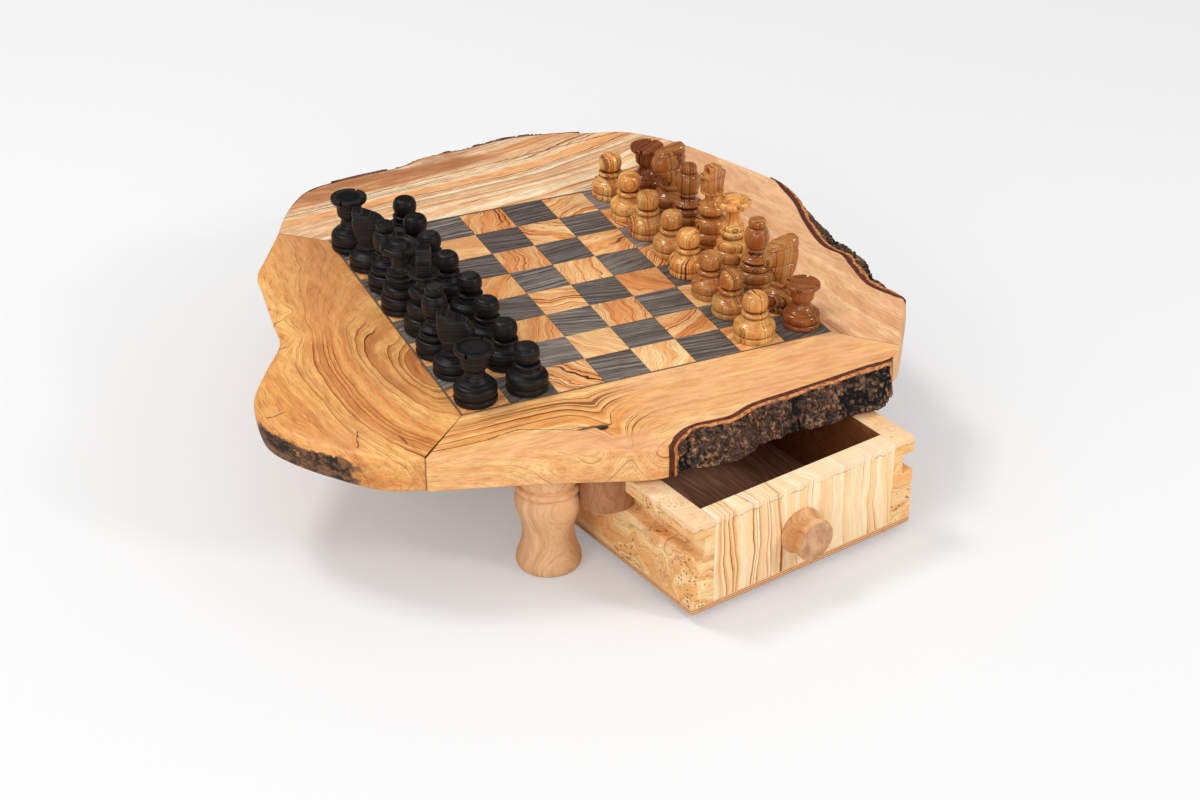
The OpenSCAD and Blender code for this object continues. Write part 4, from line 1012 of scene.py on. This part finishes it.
BISHOP_D, BISHOP_H = 25.0, 45.5
BISHOP = (man_base(BISHOP_D) + bead(11.2, 16.2, 9, 10.3, 7.2, 14) + bead(16.7, 19.2, 7, 9.5, 7.8)
          + smooth([(6.6, 20.2), (5.5, 21.4), (5, 22.8), (5, 23.6)], 4)
          + bead(23.8, 26.2, 5, 6.8, 5.5) + bead(26.2, 40, 5.5, 8, 4.6, 26)
          + bead(40, 45.3, 4.6, 5.75, 4.4, 16) + smooth([(3.8, 45.45), (0.02, BISHOP_H)], 3))

for side in ("black", "light"):
    for k in range(1, 9):
        turn_man(f"{side}_pawn_{k}", PAWN, PAWN_H, PAWN_D)
for side in ("black", "light"):
    for end in ("front", "back"):
        turn_man(f"{side}_rook_{end}", ROOK, ROOK_H, ROOK_D, 4, ROOK_RIM, ROOK_H)
        turn_man(f"{side}_bishop_{end}", BISHOP, BISHOP_H, BISHOP_D)
    turn_man(f"{side}_queen", QUEEN, QUEEN_H, QUEEN_D, 5, QUEEN_RIM, CROWN_Z)

# ---- knights and kings ----
# Their heads are carved from a flat blank left on top of the turning: the knight's rounded, with a
# snout and a sloping crown, the king's a tapered block with stepped shoulders and a groove.

KNIGHT_D, KNIGHT_H, KNIGHT_Z = 25.5, 45.0, 18.2
KNIGHT = (man_base(KNIGHT_D) + smooth([(9.6, 11.6), (8, 12.8), (6.6, 14.2)], 4)
          + bead(14.4, KNIGHT_Z, 6, 7.6, 5.6) + [(5, KNIGHT_Z + 0.5), (0.02, KNIGHT_Z + 0.5)])
KING_D, KING_H, DISC_Z, KING_HALF_T = 25.5, 56.5, 39.5, 4.15
DISC_D = {"black": 18, "light": 15.6}
SLANT = {"black": 1, "light": 0.6}
FACING = {"black_knight": -24, "light_knight": 180, "black_king": 66, "light_king": 20}
# Height, back and front reach, half thickness and tilt of the ovals of a knight's head.
OVALS = np.array([
    (0, -5.4, 5.4, 5.2, 0), (0.08, -5.8, 5.6, 5.4, 0), (0.16, -6.8, 6.2, 5.7, 0),
    (0.235, -7.8, 6.8, 5.8, 0), (0.25, -8, 9.6, 5.7, 0), (0.3, -8.5, 11.2, 5.7, 0),
    (0.375, -8.9, 12.2, 5.7, 0.01), (0.395, -9, 11.8, 5.5, 0.02), (0.41, -9.1, 8.4, 4.9, 0.02),
    (0.425, -9.2, 12.2, 5.6, 0.03), (0.47, -9.4, 13.1, 6, 0.06), (0.58, -9.6, 13.3, 6.1, 0.11),
    (0.66, -9.66, 13.2, 6, 0.16), (0.69, -9.2, 13, 6, 0.18), (0.715, -7.4, 12.8, 5.9, 0.2),
    (0.74, -9, 12.6, 5.9, 0.21), (0.82, -9.5, 12, 5.9, 0.26), (0.86, -9.5, 11.6, 5.8, 0.28),
    (0.875, -9.4, 9.4, 5.3, 0.29), (0.89, -9.4, 11.2, 5.7, 0.3), (0.94, -9.3, 10.2, 5.5, 0.33),
    (0.975, -9, 9.9, 5.3, 0.35), (1, -8.3, 9, 4.7, 0.36)])
SLITS = [7, 8, 9, 14, 18]


def king_stem(disc_d):
    """Stem of a king up to the disc under his head."""
    return (man_base(KING_D) + bead(11.2, 20.2, 9.75, 10.75, 7.5, 18) + [(6.2, 21.2), (6.4, 22.6)]
            + bead(23.2, 30.2, 7, 9.25, 6, 18) + smooth([(5, 31.6), (4.5, 33.4), (4.5, 36.2)], 4)
            + bead(37.3, DISC_Z, 5.6, disc_d / 2, disc_d / 2 - 0.6, 10) + [(0.02, DISC_Z)])


def horse_head(z0, hh, w, slant, slits):
    """Flattened ovals, one over another, between a back and a front reach: x and y are the cosine
    and sine to a power of 0.6. Each oval is tilted down towards the snout, the crown the most. The
    ovals that cut mouth, mane and ear as slits can be left out."""
    rows = OVALS if slits else np.delete(OVALS, SLITS, 0)
    f, back, front, thick, tilt = rows.T[:, :, None]
    a = np.linspace(0, 2 * np.pi, 64, endpoint=False)
    cos, sin = (np.sign(v) * np.abs(v) ** 0.6 for v in (np.cos(a), np.sin(a)))
    x = ((front + back) / 2 + (front - back) / 2 * cos) * w
    return np.stack([x, thick * w * sin, z0 + f * hh - slant * tilt * (x - back * w)], -1)


def carved(man, part, grid):
    """Part of a head, given in its man's own axes, turned to his facing and set on his foot."""
    side, kind = man.split("_")[:2]
    foot = stands_at(man)[0]
    grid = rotated(grid, math.radians(FACING[f"{side}_{kind}"]) - TURN) * MM + foot
    values = man_values(man, foot, np.zeros(1))(grid.reshape(-1, 3))
    solid(f"{man}_{part}", grid, MEN_WOOD[side], f"{side}_men_wood", man, (), values, sharp=40)


for side in ("black", "light"):
    for end in ("front", "back"):
        name = f"{side}_knight_{end}"
        h, w = turn_man(name, KNIGHT, KNIGHT_H, KNIGHT_D)
        carved(name, "head", horse_head(KNIGHT_Z * h, (KNIGHT_H - KNIGHT_Z) * h, w, SLANT[side],
                                        side == "light"))
    name = f"{side}_king"
    h, w = turn_man(name, king_stem(DISC_D[side]), KING_H, KING_D)
    disc, top, groove = DISC_Z * h, KING_H * h, (DISC_Z + KING_H) / 2 * h
    step = top - 4.5
    neck = [(-6.5, disc - 0.4), (6.5, disc - 0.4), (8.1, groove + 0.1), (-8.1, groove + 0.1)]
    head = [(-8.1, groove - 0.1), (8.1, groove - 0.1), (9, step), (4.5, step), (4.5, top),
            (-4.5, top), (-4.5, step), (-9, step)]
    for part, outline in (("neck", neck), ("head", head)):
        carved(name, part, milled(np.array(outline) * (w, 1), -KING_HALF_T, KING_HALF_T,
                                  ease=0.8, corner=1.3))

# ---- studio ----
# A plain pale floor under soft, even light, a large soft lamp above the front right, and the camera
# in front of the left corner, looking down.


def build_paper(tree):
    """The floor shines a little for the camera alone, more the farther it is from the middle."""
    straight = wire(tree, "LightPath", "Is Camera Ray")
    return {"Emission Strength": straight * place(tree).length().eased(1.6, 4.5, 0.22, 0.5)}


paper = bpy.data.meshes.new("floor")
paper.from_pydata([(-6, -6, 0), (6, -6, 0), (6, 6, 0), (-6, 6, 0)], [], [(0, 1, 2, 3)])
paper.materials.append(surface("white_paper", build_paper, Base_Color=(0.62, 0.62, 0.62, 1),
                               Roughness=0.9, Specular_IOR_Level=0.1, Emission_Color=(1, 1, 1, 1)))
put("floor", paper)

world = bpy.data.worlds.new("studio")
world.use_nodes = True
bpy.context.scene.world = world
background = world.node_tree.nodes["Background"]
background.inputs["Color"].default_value = (1, 1, 1, 1)
seen = wire(world.node_tree, "LightPath", "Is Camera Ray")
glossy = wire(world.node_tree, "LightPath", "Is Glossy Ray")
feed(background, "Strength", seen * 0.25 + (glossy * -0.58 + 0.68))

# Square area lamps: place, height aimed at over the middle, size and watts.
for name, (x, y, z), aim, size, watts in (
        ("key", (0.9, -1.7, 1.2), 0.05, 0.4, 12.5),
        ("top", (-0.5, 0.8, 1.9), 0.05, 0.5, 14.5),
        ("left_fill", (-1.7, -0.8, 0.9), 0.05, 0.9, 8),
        ("low_fill", (-1.1, -1.8, 0.4), 0.03, 0.9, 6)):
    lamp = bpy.data.lights.new(name, "AREA")
    lamp.size, lamp.energy = size, watts
    made = put(name, lamp)
    made.location = (x, y, z)
    made.rotation_euler = (math.atan2(math.hypot(x, y), z - aim), 0, math.atan2(-y, -x) - QUARTER)

camera = bpy.data.cameras.new("camera")
camera.lens = 68.70
camera.sensor_width = 36.0
view = put("camera", camera)
view.location = (-0.71843, -1.04023, 0.77645)
view.rotation_euler = (math.radians(90 - 30.983), 0, math.radians(-35.737))
bpy.context.scene.camera = view
bpy.context.scene.view_settings.view_transform = "Standard"
